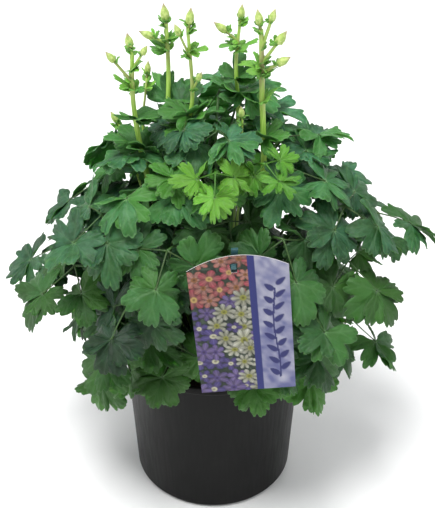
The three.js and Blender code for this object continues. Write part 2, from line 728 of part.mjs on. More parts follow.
const leaves = YOUNG_LEAVES.map((row, i) => ({
  ...leafPlan({ ...row, seed: 9000 + 37 * i }),
  name: `young_leaf_${i + 1}`,
  rooting: [row.root, row.rootAzimuth, row.lean],
  material: MATERIALS.young,
}));
TIERS.forEach((tier, t) => {
  tier.leaves.forEach(([azimuth, reach, height, size, slope], i) => {
    leaves.push({
      ...leafPlan({ azimuth, reach, height, size, slope, seed: 1000 * (t + 1) + 37 * i }),
      name: `${tier.name}_leaf_${i + 1}`,
      rooting: [tier.root, azimuth, tier.lean],
      material: MATERIALS.leaf,
    });
  });
});
for (const leaf of leaves) {
  leaf.petiole = rootPetiole(leaf, ...leaf.rooting);
  rootHole(leaf.petiole, 3);
}

addNode('pot', pot, MATERIALS.pot);
addNode('compost', compostSolid([...rootHoles, stakeSolid(SEAT_GAP)]), MATERIALS.compost);
addNode('label', labelSolid(), MATERIALS.label);
addNode('label_stake', stakeSolid(), MATERIALS.stake);
stems.forEach((stem, i) => addNode(`flower_stem_${i + 1}`, stem.solid, MATERIALS.stem));
for (const leaf of leaves) addNode(leaf.name, leafSolid(leaf), leaf.material);

export default plant;
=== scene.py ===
# %% [markdown]
# # A columbine in its pot
# This script dresses a plain solid model of a potted columbine in Blender. The solids come first, as a
# fixed frame: a black pot, compost, eight flowering stems, forty-eight leaves, and a picture label on a
# stake. Each of them is then replaced by a finer piece in the same place, with a material made of shader
# nodes.

# %% Load the frame
import json
import math

import bmesh
import bpy
import numpy as np
from mathutils.kdtree import KDTree
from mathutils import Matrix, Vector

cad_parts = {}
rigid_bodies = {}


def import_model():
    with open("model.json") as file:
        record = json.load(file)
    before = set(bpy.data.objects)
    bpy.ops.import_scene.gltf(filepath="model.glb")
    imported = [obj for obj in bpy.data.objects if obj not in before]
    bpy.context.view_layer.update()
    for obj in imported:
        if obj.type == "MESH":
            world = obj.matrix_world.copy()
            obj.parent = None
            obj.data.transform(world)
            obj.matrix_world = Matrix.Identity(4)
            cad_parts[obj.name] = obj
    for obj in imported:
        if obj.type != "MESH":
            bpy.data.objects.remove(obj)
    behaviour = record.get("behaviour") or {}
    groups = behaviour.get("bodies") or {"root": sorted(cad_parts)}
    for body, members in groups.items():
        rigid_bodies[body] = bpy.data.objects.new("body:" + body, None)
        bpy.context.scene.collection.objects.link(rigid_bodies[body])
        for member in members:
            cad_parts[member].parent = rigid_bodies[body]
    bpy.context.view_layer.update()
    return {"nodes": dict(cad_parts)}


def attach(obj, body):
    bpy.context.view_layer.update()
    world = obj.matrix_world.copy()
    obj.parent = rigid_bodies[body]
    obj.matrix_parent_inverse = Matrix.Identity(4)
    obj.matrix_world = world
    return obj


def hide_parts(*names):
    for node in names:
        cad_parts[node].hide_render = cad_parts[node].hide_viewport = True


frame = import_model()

MM = 0.001
print("The frame has", len(frame["nodes"]), "solids")

# %% [markdown]
# ## Camera, floor and light
# The camera stands a metre in front of the pot and a metre up, and looks down at it, as someone at a garden
# bench would. A long lens keeps the pot's sides nearly parallel. The floor is pale paper that sweeps up
# into a wall all round, so no horizon shows from any side. Large soft lamps and a bright sky light the
# plant mostly from above, so the leaves' upper sides are bright and the middle of the mound is dark.

# %% Camera
CAMERA_PLACE = (0.0041, -0.9896, 0.9903)
CAMERA_PITCH = 36.7
CAMERA_LENS = 95.95
SENSOR = 36.0


def link(obj):
    bpy.context.scene.collection.objects.link(obj)
    return obj


camera = link(bpy.data.objects.new("camera", bpy.data.cameras.new("camera")))
camera.location = CAMERA_PLACE
camera.rotation_euler = (math.radians(90 - CAMERA_PITCH), 0, 0)
camera.data.lens = CAMERA_LENS
camera.data.sensor_width = SENSOR
bpy.context.scene.camera = camera
print("Camera lens:", CAMERA_LENS, "mm")

# %% Lamps and sky
PLANT_MIDDLE = (0, 0, 0.25)
LAMPS = {  # place, size and watts; each is aimed at the middle of the plant
    "key": ((-0.6, -1.1, 4.6), 2.0, 228),
    "fill": ((2.6, -2.4, 2.6), 2.4, 20),
    "back": ((0.8, 2.6, 4.0), 1.8, 36),
    "left": ((-3.2, 0.5, 1.1), 1.4, 24),
}
SKY_COLOUR = (0.93, 0.96, 1.0, 1)
SKY_STRENGTH = 0.36


def aim(obj, place, target):
    obj.location = place
    obj.rotation_euler = (Vector(target) - Vector(place)).to_track_quat("-Z", "Y").to_euler()


for lamp_name, (place, size, watts) in LAMPS.items():
    data = bpy.data.lights.new(lamp_name, "AREA")
    data.shape, data.size, data.energy = "DISK", size, watts
    aim(link(bpy.data.objects.new(lamp_name, data)), place, PLANT_MIDDLE)

world = bpy.data.worlds.new("sky")
world.use_nodes = True
sky = world.node_tree.nodes["Background"].inputs
sky["Color"].default_value, sky["Strength"].default_value = SKY_COLOUR, SKY_STRENGTH
bpy.context.scene.world = world
bpy.context.scene.view_settings.view_transform = "Standard"
print("Lamps:", {name: watts for name, (_, _, watts) in LAMPS.items()})

# %% Floor
FLOOR_FLAT, SWEEP, WALL_TOP = 4.5, 2.5, 6.0
FLOOR_SIDES = 96


def node(tree, kind, inputs=None, **settings):
    """Adds a shader node; an input is a value or another node's output."""
    made = tree.nodes.new(kind)
    for name, value in settings.items():
        setattr(made, name, value)
    for key, value in (inputs or {}).items():
        if isinstance(value, bpy.types.NodeSocket):
            tree.links.new(value, made.inputs[key])
        else:
            made.inputs[key].default_value = value
    return made


def new_material(name, **constants):
    """A material with one Principled shader, whose constant values are set on its own sockets."""
    material = bpy.data.materials.new(name)
    material.use_nodes = True
    shader = material.node_tree.nodes["Principled BSDF"]
    for key, value in constants.items():
        shader.inputs[key.replace("_", " ")].default_value = value
    return material, material.node_tree, shader


bend = np.radians(np.linspace(0, 90, 13))
corner = zip(FLOOR_FLAT + SWEEP * np.sin(bend), SWEEP * (1 - np.cos(bend)))
sweep = [(0.5, 0.0), *corner, (FLOOR_FLAT + SWEEP, WALL_TOP)]
turn = np.linspace(0, 2 * np.pi, FLOOR_SIDES, endpoint=False)
points = [(r * math.cos(a), r * math.sin(a), z) for r, z in sweep for a in turn]
count = len(turn)
quads = [(r * count + k, r * count + (k + 1) % count, (r + 1) * count + (k + 1) % count, (r + 1) * count + k)
         for r in range(len(sweep) - 1) for k in range(count)]
floor_mesh = bpy.data.meshes.new("floor")
floor_mesh.from_pydata(points, [], [tuple(range(count))[::-1], *quads])
floor = link(bpy.data.objects.new("floor", floor_mesh))
floor_material, tree, shader = new_material("floor paper", Base_Color=(0.96, 0.96, 0.955, 1), Roughness=0.9)
floor.data.materials.append(floor_material)
floor_mesh.polygons.foreach_set("use_smooth", [True] * len(floor_mesh.polygons))
print("Floor reaches", FLOOR_FLAT + SWEEP, "m out")

# %% [markdown]
# ## Gathering a piece
# Every piece of the plant is made of thin shells and tubes. They are worked out as grids of points with
# numpy and gathered here, with three things for the materials: a UV place, a finish (which material a face
# takes) and a tint of four numbers. The tint says how light a place is (its tone, and on the leaves and
# stems also painted light and shade), how fresh and how flushed it is, and whether it is on an underside,
# so that one material can serve every grown leaf and still vary.

# %% Grids


def unit(v):
    return v / np.linalg.norm(v)


def run_lengths(path):
    """How far each point lies along a path."""
    return np.concatenate([[0], np.cumsum(np.linalg.norm(np.diff(path, axis=0), axis=1))])


def uv_grid(u, v):
    return np.stack(np.meshgrid(u, v), -1)


def grid_faces(rows, columns, around=False):
    r, c = np.meshgrid(np.arange(rows - 1), np.arange(columns if around else columns - 1), indexing="ij")
    n = (c + 1) % columns
    corners = [r * columns + c, (r + 1) * columns + c, (r + 1) * columns + n, r * columns + n]
    return np.stack(corners, -1).reshape(-1, 4)


print("One square of a grid:", grid_faces(2, 2).tolist())

# %% A piece's shape


class Shape:
    """Points in millimetres, faces, UVs, tints and finishes of one piece, gathered grid by grid."""

    def __init__(self):
        self.points, self.uvs, self.tints, self.faces, self.finishes = [], [], [], [], []
        self.count = 0

    def add(self, points, uv, tint, faces, finish):
        total = len(points)
        self.points.append(points)
        self.uvs.append(np.broadcast_to(uv, (total, 2)))
        self.tints.append(np.broadcast_to(tint, (total, 4)))
        self.faces.extend([[k + self.count for k in face] for face in faces])
        self.finishes.extend([finish] * len(faces))
        self.count += total

    def shell(self, top, normal, thickness, uv, tint, finish):
        """A thin closed shell: a grid of points and the same grid moved down its normal."""
        rows, columns = top.shape[:2]
        n = rows * columns
        upper = grid_faces(rows, columns)
        edge = [
            *range(columns),
            *(r * columns + columns - 1 for r in range(1, rows)),
            *(n - 1 - k for k in range(1, columns)),
            *(r * columns for r in range(rows - 2, 0, -1)),
        ]
        wall = [(a, b, b + n, a + n) for a, b in zip(edge, edge[1:] + edge[:1])]
        under = tint * np.array([1, 1, 0, 1]) + np.array([0, 0, 1, 0])
        points = np.concatenate([top.reshape(-1, 3), (top - normal * thickness).reshape(-1, 3)])
        uvs = np.concatenate([uv.reshape(-1, 2)] * 2)
        tints = np.concatenate([np.broadcast_to(t, (n, 4)) for t in (tint, under)])
        self.add(points, uvs, tints, [*upper.tolist(), *(upper[:, ::-1] + n).tolist(), *wall], finish)

    def tube(self, path, radii, sides, tint, finish, ribs=0, rib_depth=0.0):
        """A closed tube along a path, with a radius and a tint at each of its points."""
        path = np.asarray(path, float)
        along = np.gradient(path, axis=0)
        along /= np.linalg.norm(along, axis=1)[:, None]
        side = np.array([1.0, 0, 0]) if abs(along[0][0]) < 0.8 else np.array([0, 1.0, 0])
        turn = 2 * np.pi * np.arange(sides) / sides
        rings = []
        for at, ahead, radius in zip(path, along, radii):
            side = unit(side - ahead * side.dot(ahead))
            other = np.cross(ahead, side)
            girth = radius * (1 + rib_depth * np.cos(ribs * turn))
            rings.append(at + np.outer(girth * np.cos(turn), side) + np.outer(girth * np.sin(turn), other))
        tints = np.broadcast_to(np.asarray(tint, float).reshape(-1, 1, 4), (len(path), sides, 4))
        self.rings(np.array(rings), uv_grid(np.arange(sides) / sides, run_lengths(path)), tints, finish)

    def rings(self, points, uv, tint, finish):
        """A closed skin over rings of points, with a flat cap on the first and the last."""
        n, sides = points.shape[:2]
        body = grid_faces(n, sides, around=True)[:, ::-1]
        caps = [list(range(sides))[::-1], list(range((n - 1) * sides, n * sides))]
        faces = [*body.tolist(), *caps]
        self.add(points.reshape(-1, 3), uv.reshape(-1, 2), tint.reshape(-1, 4), faces, finish)

    def mesh(self, name):
        mesh = bpy.data.meshes.new(name)
        mesh.from_pydata((np.concatenate(self.points) * MM).tolist(), [], self.faces)
        return mesh

    def piece(self, name, materials, nodes, slot):
        """Makes the Blender object, which stands for the solids that it names."""
        mesh = self.mesh(name)
        mesh.polygons.foreach_set("material_index", self.finishes)
        mesh.polygons.foreach_set("use_smooth", [True] * len(self.faces))
        corners = np.zeros(len(mesh.loops), np.int32)
        mesh.loops.foreach_get("vertex_index", corners)
        uvs = np.concatenate(self.uvs)[corners]
        mesh.uv_layers.new(name="UVMap").data.foreach_set("uv", uvs.astype(np.float32).ravel())
        tints = mesh.color_attributes.new("tint", "FLOAT_COLOR", "POINT")
        tints.data.foreach_set("color", np.concatenate(self.tints).astype(np.float32).ravel())
        for material in materials:
            mesh.materials.append(material)
        mesh.update()
        return register(name, mesh, nodes)


def register(name, mesh, nodes):
    """A mesh as an object that rides on the plant's one body and stands for the solids that it names."""
    obj = link(bpy.data.objects.new(name, mesh))
    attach(obj, "root")
    if nodes:
        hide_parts(*nodes)
    return obj


def edit_mesh(mesh, change):
    """Opens a mesh, lets the function change it, and writes it back."""
    opened = bmesh.new()
    opened.from_mesh(mesh)
    change(opened)
    opened.to_mesh(mesh)
    opened.free()


trial = Shape()
trial.tube([[0, 0, 0], [0, 0, 1]], [1, 1], 6, [0, 0, 0, 0], 0)
print("A six-sided tube has", trial.count, "points and", len(trial.faces), "faces")


# %% [markdown]
# ## Leaf, stem and bud materials
# A columbine's leaflets have a matte blue-green bloom above and are a clearer green below, with pale veins
# that fan out from the base and fork once on the way to the teeth. The veins are drawn from the UVs: U runs
# across the fan and V from the base to the margin. A noise texture clouds the colour, and a fine one
# roughens it.

# %% Noise, fades and mixes


def maths(tree, operation, first, second=0.5, third=0.0):
    made = node(tree, "ShaderNodeMath", {0: first, 1: second, 2: third}, operation=operation)
    return made.outputs[0]


def mix(tree, factor, first, second, blend="MIX"):
    """Mixes two colours, each a node's output or three numbers."""
    first, second = ((*c, 1) if isinstance(c, tuple) else c for c in (first, second))
    inputs = {0: factor, 6: first, 7: second}
    return node(tree, "ShaderNodeMix", inputs, data_type="RGBA", blend_type=blend).outputs[2]


def brightened(tree, colour, brightness):
    grey = node(tree, "ShaderNodeCombineColor", dict.fromkeys((0, 1, 2), brightness)).outputs[0]
    return mix(tree, 1.0, colour, grey, "MULTIPLY")


def fade(tree, value, low, high, to_low=0.0, to_high=1.0):
    inputs = {"Value": value, "From Min": low, "From Max": high, "To Min": to_low, "To Max": to_high}
    return node(tree, "ShaderNodeMapRange", inputs, interpolation_type="SMOOTHSTEP").outputs["Result"]


def noise(tree, scale, detail=2.0, roughness=0.5):
    place = node(tree, "ShaderNodeTexCoord").outputs["Object"]
    inputs = {"Vector": place, "Scale": scale, "Detail": detail, "Roughness": roughness}
    return node(tree, "ShaderNodeTexNoise", inputs).outputs["Fac"]


def drawn_out_noise(tree, across_scale, along_scale, detail):
    """Noise drawn out upright, for streaks and scuffs."""
    place = node(tree, "ShaderNodeTexCoord").outputs["Object"]
    scale = (across_scale, across_scale, along_scale)
    drawn_out = node(tree, "ShaderNodeMapping", {"Vector": place, "Scale": scale}).outputs[0]
    inputs = {"Vector": drawn_out, "Scale": 1.0, "Detail": detail}
    return node(tree, "ShaderNodeTexNoise", inputs).outputs["Fac"]


def tint_parts(tree):
    """Lightness (tone, and on leaves and stems also painted light and shade), freshness, underside and flush,
    from the piece's tint.
    """
    colour = node(tree, "ShaderNodeVertexColor", layer_name="tint")
    parts = node(tree, "ShaderNodeSeparateColor", {"Color": colour.outputs["Color"]})
    return (*parts.outputs, colour.outputs["Alpha"])


def bump(tree, shader, height, strength, distance):
    made = node(tree, "ShaderNodeBump", {"Height": height, "Strength": strength, "Distance": distance})
    tree.links.new(made.outputs["Normal"], shader.inputs["Normal"])


def bud_material():
    """Mottled yellow-green sepals, flushed at their tips."""
    material, tree, shader = new_material("bud sepals", Roughness=0.42, Specular_IOR_Level=0.45)
    _, _, _, flush = tint_parts(tree)
    mottle = fade(tree, noise(tree, 420.0, 2.0), 0.35, 0.65)
    colour = mix(tree, mottle, (0.31, 0.45, 0.095), (0.50, 0.60, 0.20))
    colour = mix(tree, flush, colour, (0.30, 0.16, 0.16))
    tree.links.new(colour, shader.inputs["Base Color"])
    bump(tree, shader, noise(tree, 1500.0, 2.0), 0.3, 0.0003)
    return material


BUD = bud_material()
print("Bud material:", BUD.name, "with", len(BUD.node_tree.nodes), "nodes")

# %% Leaf materials
VEIN_COLOUR = (0.16, 0.29, 0.13)
LOBES = 3
FORK = 1 / 3
LEAFLET_ARC = 44.0
# The leaves' lightness runs from DARKEST to LIGHTEST and becomes a brightness from DIM by GAIN; it is painted
# light and shade, with random tone on top.
DARKEST, LIGHTEST = -0.5, 2.2
DIM, GAIN = 0.62, 0.7  # how bright a leaf of lightness 0 is, and how much each step of lightness adds
LEAF_COLOURS = {  # deep, bluish, fresh and underside
    "grown leaf": ((0.0085, 0.050, 0.0125), (0.032, 0.112, 0.052),
                   (0.037, 0.134, 0.014), (0.060, 0.17, 0.042)),
    "young leaf": ((0.045, 0.17, 0.011), (0.085, 0.25, 0.024), (0.12, 0.31, 0.030), (0.12, 0.28, 0.05)),
    "bract": ((0.075, 0.23, 0.030), (0.14, 0.31, 0.080), (0.17, 0.39, 0.040), (0.17, 0.36, 0.08)),
}


def vein_mask(tree):
    """1 on the veins: one down the middle of each lobe, and one that forks off on each side of it."""
    uv = node(tree, "ShaderNodeSeparateXYZ", {0: node(tree, "ShaderNodeUVMap").outputs["UV"]})
    u, v = uv.outputs[0], uv.outputs[1]
    in_lobe = maths(tree, "FRACT", maths(tree, "MULTIPLY", u, float(LOBES)))
    off_middle = maths(tree, "ABSOLUTE", maths(tree, "SUBTRACT", in_lobe, 0.5))
    forked = maths(tree, "MULTIPLY", fade(tree, v, 0.3, 1.0), FORK)
    off_fork = maths(tree, "ABSOLUTE", maths(tree, "SUBTRACT", off_middle, forked))
    off = maths(tree, "MINIMUM", off_middle, off_fork)
    distance = maths(tree, "MULTIPLY", maths(tree, "MULTIPLY", off, v), LEAFLET_ARC / LOBES)
    return fade(tree, distance, 0.1, 0.75, 1.0, 0.0), v


def leaf_material(name, deep, bluish, fresh, under):
    """Deep and bluish green in clouds, fresh green where the tint says so, and a paler underside, all
    brightened or dimmed by the tint's lightness, which holds painted light and shade.
    """
    material, tree, shader = new_material(
        name, Roughness=0.54, Specular_IOR_Level=0.30, Subsurface_Weight=0.35, Subsurface_Scale=0.001,
        Subsurface_Radius=(0.5, 1.0, 0.2))
    light, freshness, underside, _ = tint_parts(tree)
    veins, v = vein_mask(tree)
    clouds = fade(tree, noise(tree, 75.0, 6.0, 0.68), 0.34, 0.66)
    colour = mix(tree, clouds, deep, bluish)
    colour = mix(tree, freshness, colour, fresh)
    colour = mix(tree, maths(tree, "MULTIPLY", veins, 0.10), colour, VEIN_COLOUR)
    colour = mix(tree, fade(tree, v, 0.95, 1.0, 0.0, 0.25), colour, VEIN_COLOUR)
    colour = mix(tree, fade(tree, v, 0.14, 0.03, 0.0, 0.8), colour, VEIN_COLOUR)
    colour = mix(tree, underside, colour, under)
    # Painted light and shade: the tint's lightness brightens or dims the whole leaf colour.
    scale = {"Value": light, "From Min": DARKEST, "From Max": LIGHTEST,
             "To Min": DIM + GAIN * DARKEST, "To Max": DIM + GAIN * LIGHTEST}
    colour = brightened(tree, colour, node(tree, "ShaderNodeMapRange", scale).outputs["Result"])
    tree.links.new(colour, shader.inputs["Base Color"])
    grain = maths(tree, "MULTIPLY_ADD", noise(tree, 900.0, 2.0), 0.3, maths(tree, "MULTIPLY", veins, -0.45))
    relief = maths(tree, "MULTIPLY_ADD", noise(tree, 230.0, 3.0, 0.6), 1.6, grain)
    bump(tree, shader, relief, 0.6, 0.0009)
    return material


GROWN_LEAF, YOUNG_LEAF, BRACT = (leaf_material(name, *colours) for name, colours in LEAF_COLOURS.items())
print("Leaf materials:", [material.name for material in (GROWN_LEAF, YOUNG_LEAF, BRACT)])

# %% Stem materials
STEM_COLOURS = {  # deep, pale and flushed
    "stem skin": ((0.36, 0.64, 0.085), (0.54, 0.80, 0.17), (0.27, 0.16, 0.13)),
    "petiole skin": ((0.040, 0.115, 0.024), (0.075, 0.17, 0.042), (0.10, 0.06, 0.04)),
    "young petiole skin": ((0.05, 0.19, 0.012), (0.09, 0.27, 0.026), (0.09, 0.16, 0.03)),
}


def stem_material(name, deep, pale, flushed_colour):
    """Streaked lengthwise from deep to pale, flushed as the tint says, and darkened by the tint's lightness
    as painted shade.
    """
    material, tree, shader = new_material(name, Roughness=0.45, Specular_IOR_Level=0.4)
    light, _, _, flush = tint_parts(tree)
    streaks = drawn_out_noise(tree, 700, 40, 2.0)
    colour = mix(tree, fade(tree, streaks, 0.35, 0.65), deep, pale)
    flushed = maths(tree, "MULTIPLY", flush, fade(tree, streaks, 0.3, 0.6, 0.55, 1.0))
    colour = mix(tree, flushed, colour, flushed_colour)
    # Painted shade: a low lightness in the tint darkens the stem colour.
    dark = mix(tree, light, (0.25, 0.32, 0.22), (1, 1, 1))
    tree.links.new(mix(tree, 1.0, colour, dark, "MULTIPLY"), shader.inputs["Base Color"])
    bump(tree, shader, streaks, 0.35, 0.0004)
    return material


STEM, PETIOLE, YOUNG_PETIOLE = (stem_material(name, *colours) for name, colours in STEM_COLOURS.items())
print("Stem materials:", [material.name for material in (STEM, PETIOLE, YOUNG_PETIOLE)])

# %% [markdown]
# ## Reading a leaf's plan off its solid
# A columbine leaf is a petiole that divides in three, each part ending in three lobed leaflets. Its solid
# is faceted, but it holds the whole plan. A leaflet's plate is 0.9 mm thick, so each corner of its outline
# is an edge of just that length, and five such edges in a row are one leaflet: right corner, notch, tip,
# notch, left corner. The petiole is a tube of triangles, whose middles lie on a cubic curve. Reading the
# plan this way starts every petiole and leaflet where its solid has it, with no list of places to keep in
# step. From there the leaflets bend, so their blades leave the flat plates and some cross a neighbour.

# %% Find the outlines of a leaf's leaflets
PLATE = 0.9
PLATE_SLACK = 0.004
WELD = 2e-6
OUTLINE_EDGES = 5
leaf_names = [name for name in sorted(frame["nodes"]) if "_leaf_" in name]


def welded(name):
    """A solid's mesh, with the points that its faces share made one."""
    solid = bmesh.new()
    solid.from_mesh(frame["nodes"][name].data)
    bmesh.ops.remove_doubles(solid, verts=solid.verts, dist=WELD)
    return solid


def place_of(vert):
    return np.array(vert.co) / MM


def leaflet_rows(solid):
    """The rows of five plate edges, each as a list of (upper, lower) corners."""
    partner = {}
    for edge in solid.edges:
        if abs(edge.calc_length() / MM - PLATE) < PLATE_SLACK:
            a, b = edge.verts
            partner[a], partner[b] = b, a
    near = {}
    for a, b in partner.items():
        around = [e.other_vert(a) for e in a.link_edges]
        near[a] = [c for c in around if c in partner and c is not b and any(
            e.other_vert(b) is partner[c] for e in b.link_edges)]
    rows, seen = [], set()
    for start in partner:
        if start in seen or len(near[start]) != 1:
            continue
        row, step = [start], near[start][0]
        while step is not None:
            row.append(step)
            step = next((c for c in near[step] if c not in row), None)
        seen.update(row)
        seen.update(partner[v] for v in row)
        if len(row) == OUTLINE_EDGES:
            rows.append([(place_of(v), place_of(partner[v])) for v in row])
    return rows


first_leaf = welded(leaf_names[0])
first_rows = leaflet_rows(first_leaf)
print("Outlines in the first leaf:", len(first_rows))
first_leaf.free()

# %% Find a leaflet's frame from its outline
CORNER_ALONG, CORNER_ACROSS, NOTCH_ALONG, TIP_ALONG = 0.66, 0.54, 0.8, 1.05
ARCH_ALONG, ARCH_ACROSS = 0.14, 0.22


def leaflet_frame(row):
    """Where a leaflet starts, the way it points, its width and length, from its five corners."""
    middles = [(a + b) / 2 for a, b in row]
    normal = unit(row[2][0] - row[2][1])
    wide = (middles[0] + middles[4]) / 2
    forward = middles[2] - wide
    forward = unit(forward - normal * forward.dot(normal))
    share = (NOTCH_ALONG - CORNER_ALONG) / (TIP_ALONG - CORNER_ALONG)
    if ((middles[1] + middles[3]) / 2 - wide - (middles[2] - wide) * share).dot(normal) < 0:
        normal = -normal
    length = (middles[2] - wide).dot(forward) / (TIP_ALONG - CORNER_ALONG)
    base = middles[2] - forward * TIP_ALONG * length + normal * ARCH_ALONG * TIP_ALONG**2 * length
    width = np.linalg.norm(middles[4] - middles[0]) / (2 * CORNER_ACROSS)
    return {"base": base, "forward": forward, "normal": normal, "side": np.cross(normal, forward),
            "length": length, "width": width}


example = leaflet_frame(first_rows[0])
print("One leaflet is", round(example["length"], 1), "mm long and", round(example["width"], 1), "mm wide")

# %% Read every leaf's plan
POT_MOUTH = 75.0
PETIOLE_RINGS = 5
LEAFLET_SET_OFF = 1.2
SAME_START = 4


def petiole_curve(solid):
    """The petiole's lowest point, the cubic through the middles of its rings, and how many rings it has."""
    inside = [v for v in solid.verts if np.hypot(*place_of(v)[:2]) < POT_MOUTH]
    ring = sorted(inside, key=lambda v: v.co.z)[:3]
    seen, middles = set(), []
    for _ in range(PETIOLE_RINGS):
        seen.update(ring)
        middles.append(sum(place_of(v) for v in ring) / len(ring))
        ring = list({e.other_vert(v) for v in ring for e in v.link_edges} - seen)
        if len(ring) != 3:
            break
    shares = np.arange(len(middles) - 1) / 4
    return middles[0], np.polyfit(shares, np.array(middles[1:]), 3), len(middles)


def outward(azimuth):
    return np.array([math.sin(math.radians(azimuth)), -math.cos(math.radians(azimuth)), 0])


def rotated(v, axis, degrees):
    return np.array(Matrix.Rotation(math.radians(degrees), 3, Vector(axis)) @ Vector(v))


def leaf_plan(name):
    solid = welded(name)
    leaflets = [leaflet_frame(row) for row in leaflet_rows(solid)]
    root, cubic, rings = petiole_curve(solid)
    solid.free()
    groups = []
    for leaflet in leaflets:
        start = leaflet["base"] - leaflet["forward"] * LEAFLET_SET_OFF
        near = [group for group in groups if np.linalg.norm(group["starts"][0] - start) < SAME_START]
        if not near:
            near = [{"leaflets": [], "starts": []}]
            groups += near
        near[0]["leaflets"].append(leaflet)
        near[0]["starts"].append(start)
    for group in groups:
        group["middle"] = np.mean(group["starts"], axis=0)
    return {"root": root, "cubic": cubic, "rings": rings, "groups": groups}


plans = {name: leaf_plan(name) for name in leaf_names}
leaflet_counts = [len(group["leaflets"]) for plan in plans.values() for group in plan["groups"]]
print("Leaves:", len(plans), "leaflets:", sum(leaflet_counts))
print("Petioles not read whole:", [name for name, plan in plans.items() if plan["rings"] != PETIOLE_RINGS])

# %% [markdown]
# ## Where the label hangs
# The label's card leans back against the leaves at the front of the plant, and they give way to it. So its
# place comes before theirs: a leaf point that would come through the card is pressed back behind it.

# %% Where the label hangs
LABEL_TOP = np.array([19.4, -108.0, 332.0])
LABEL_LEAN, LABEL_SPIN = 15.0, -5.4
LABEL_TOP_WIDTH, LABEL_FOOT_WIDTH, LABEL_THICKNESS = 84.0, 79.5, 0.8
LABEL_SIDE, LABEL_CROWN = 111.5, 11.2
CARD_MIDDLE, CARD_HALF = 60, 62
CARD_CLEARANCE = 3.0
CARD_MARGIN = 2.0
card_right = rotated((1, 0, 0), (0, 1, 0), LABEL_SPIN)
card_down = rotated(rotated((0, 0, -1), (0, 1, 0), LABEL_SPIN), card_right, -LABEL_LEAN)
card_face = np.cross(card_down, card_right)


def behind_card(points):
    """The points, with those that come through the card's outline pressed back behind it."""
    off = points - LABEL_TOP
    x, y, ahead = off @ card_right, off @ card_down, off @ card_face
    in_width = np.abs(x) < LABEL_TOP_WIDTH / 2 + CARD_MARGIN
    inside = in_width & (np.abs(y - CARD_MIDDLE) < CARD_HALF + CARD_MARGIN)
    push = np.where(inside, np.maximum(ahead + CARD_CLEARANCE, 0), 0)
    return points - push[..., None] * card_face


print("The card faces", card_face.round(2), "and is", LABEL_SIDE + LABEL_CROWN, "mm tall")

# %% [markdown]
# ## Leaflets
# A leaflet is a fan: a grid whose columns are rays from its base and whose last row is its margin. The
# margin's radius is a smooth envelope, cut by two deep notches between three lobes and by shallow ones
# between round teeth. The columns fall on the teeth and the notches, so few of them draw the margin
# crisply. Then the fan is bent: it arches as its solid does, bulges between its veins, and each lobe curls
# by an amount of its own.

# %% A leaflet's margin
TOOTH_PITCH = 20.0
TEETH = 9
HALF_FAN = TOOTH_PITCH * TEETH / 2
ENVELOPE_ANGLES = (0, 20, 44, 62, 78, 90)
ENVELOPE_RADII = (1.12, 1.10, 1.05, 1.00, 0.80, 0.42)
LOBE_MIDDLES = (-3 * TOOTH_PITCH, 0, 3 * TOOTH_PITCH)
SINUS_ANGLE = 1.5 * TOOTH_PITCH


def margin_radii(angles, draw, depth, limp):
    """The margin's radius in each direction, as a share of the length. Limp ones are more toothed."""
    radii = np.interp(np.abs(angles), ENVELOPE_ANGLES, ENVELOPE_RADII)
    off_lobe = np.abs(angles[:, None] - np.array(LOBE_MIDDLES)).min(axis=1) / SINUS_ANGLE
    radii = radii * (1 - (0.02 + 0.3 * depth) * off_lobe**2)
    for sinus in (-SINUS_ANGLE, SINUS_ANGLE):
        cut = depth * draw.uniform(0.75, 1.25)
        radii = radii * (1 - cut * np.exp(-(((angles - sinus) / draw.uniform(6, 10)) ** 2)))
    across_tooth = np.pi * angles / TOOTH_PITCH
    round_teeth = np.abs(np.cos(across_tooth)) ** 0.6
    radii = radii * (1 - draw.uniform(0.10, 0.17) * limp * (1 - round_teeth))
    half_teeth = np.abs(np.sin(across_tooth)) ** 0.6
    radii = radii * (1 - draw.uniform(0.03, 0.08) * (1 - half_teeth))
    tooth_middles = TOOTH_PITCH * (np.arange(TEETH) - (TEETH - 1) / 2)
    radii = radii * np.interp(angles, tooth_middles, draw.uniform(0.93, 1.04, TEETH))
    return radii * (1 + 0.06 * np.sin(np.radians(angles * draw.uniform(1.5, 4)) + draw.uniform(0, 6)))


margin = margin_radii(np.arange(-HALF_FAN, HALF_FAN + 1), np.random.default_rng(1), 0.3, 1.0)
print("A margin's radius runs from", margin.min().round(2), "to", margin.max().round(2), "of the length")

# %% A bent leaflet
FINE_GRID = (6, 5)  # columns a tooth, and rows
SHADED_GRID = (6, 4)
PLAIN_GRID = (4, 3)
SMALL_GRID = (2, 3)
LEAFLET_THICKNESS = 0.36
FAN_START = 0.03
BASE_REACH = 1.6
LOBE_SPREAD = 23
VEIN_BULGE = 0.007
PUCKER, RUFFLE = 0.02, 0.06


def wave(draw, across, low, high):
    """A sine of a random pitch and phase."""
    return np.sin(across * draw.uniform(low, high) + draw.uniform(0, 6))


def leaflet_bends(p, q, v, angles, draw, limp):
    """How far a leaflet stands off its plane, as a share of its length: arch, fold, curled lobes, ruffles."""
    relief = -ARCH_ALONG * draw.uniform(0.5, 2.0) * p * p - ARCH_ACROSS * draw.uniform(0.2, 1.4) * q * q
    relief = relief + (draw.uniform(-0.10, 0.36) + 0.3 * (limp - 1)) * limp * np.abs(q) * np.sqrt(v)
    lobes = np.exp(-(((angles[None, :] - np.array(LOBE_MIDDLES)[:, None]) / LOBE_SPREAD) ** 2))
    curls = np.array([draw.uniform(-0.26, 0.15) for _ in LOBE_MIDDLES]) * limp
    relief = relief + (curls @ lobes) * v**2
    relief = relief + VEIN_BULGE * 4 * v * (1 - 0.8 * v) * np.abs(np.sin(np.pi * angles / SINUS_ANGLE))
    pucker = wave(draw, p, 11, 15) * wave(draw, q, 11, 15)
    ruffle = np.sin(np.radians(angles * draw.uniform(6, 10)) + draw.uniform(0, 6))
    return relief + PUCKER * np.sqrt(v) * pucker + RUFFLE * limp * v**3 * ruffle


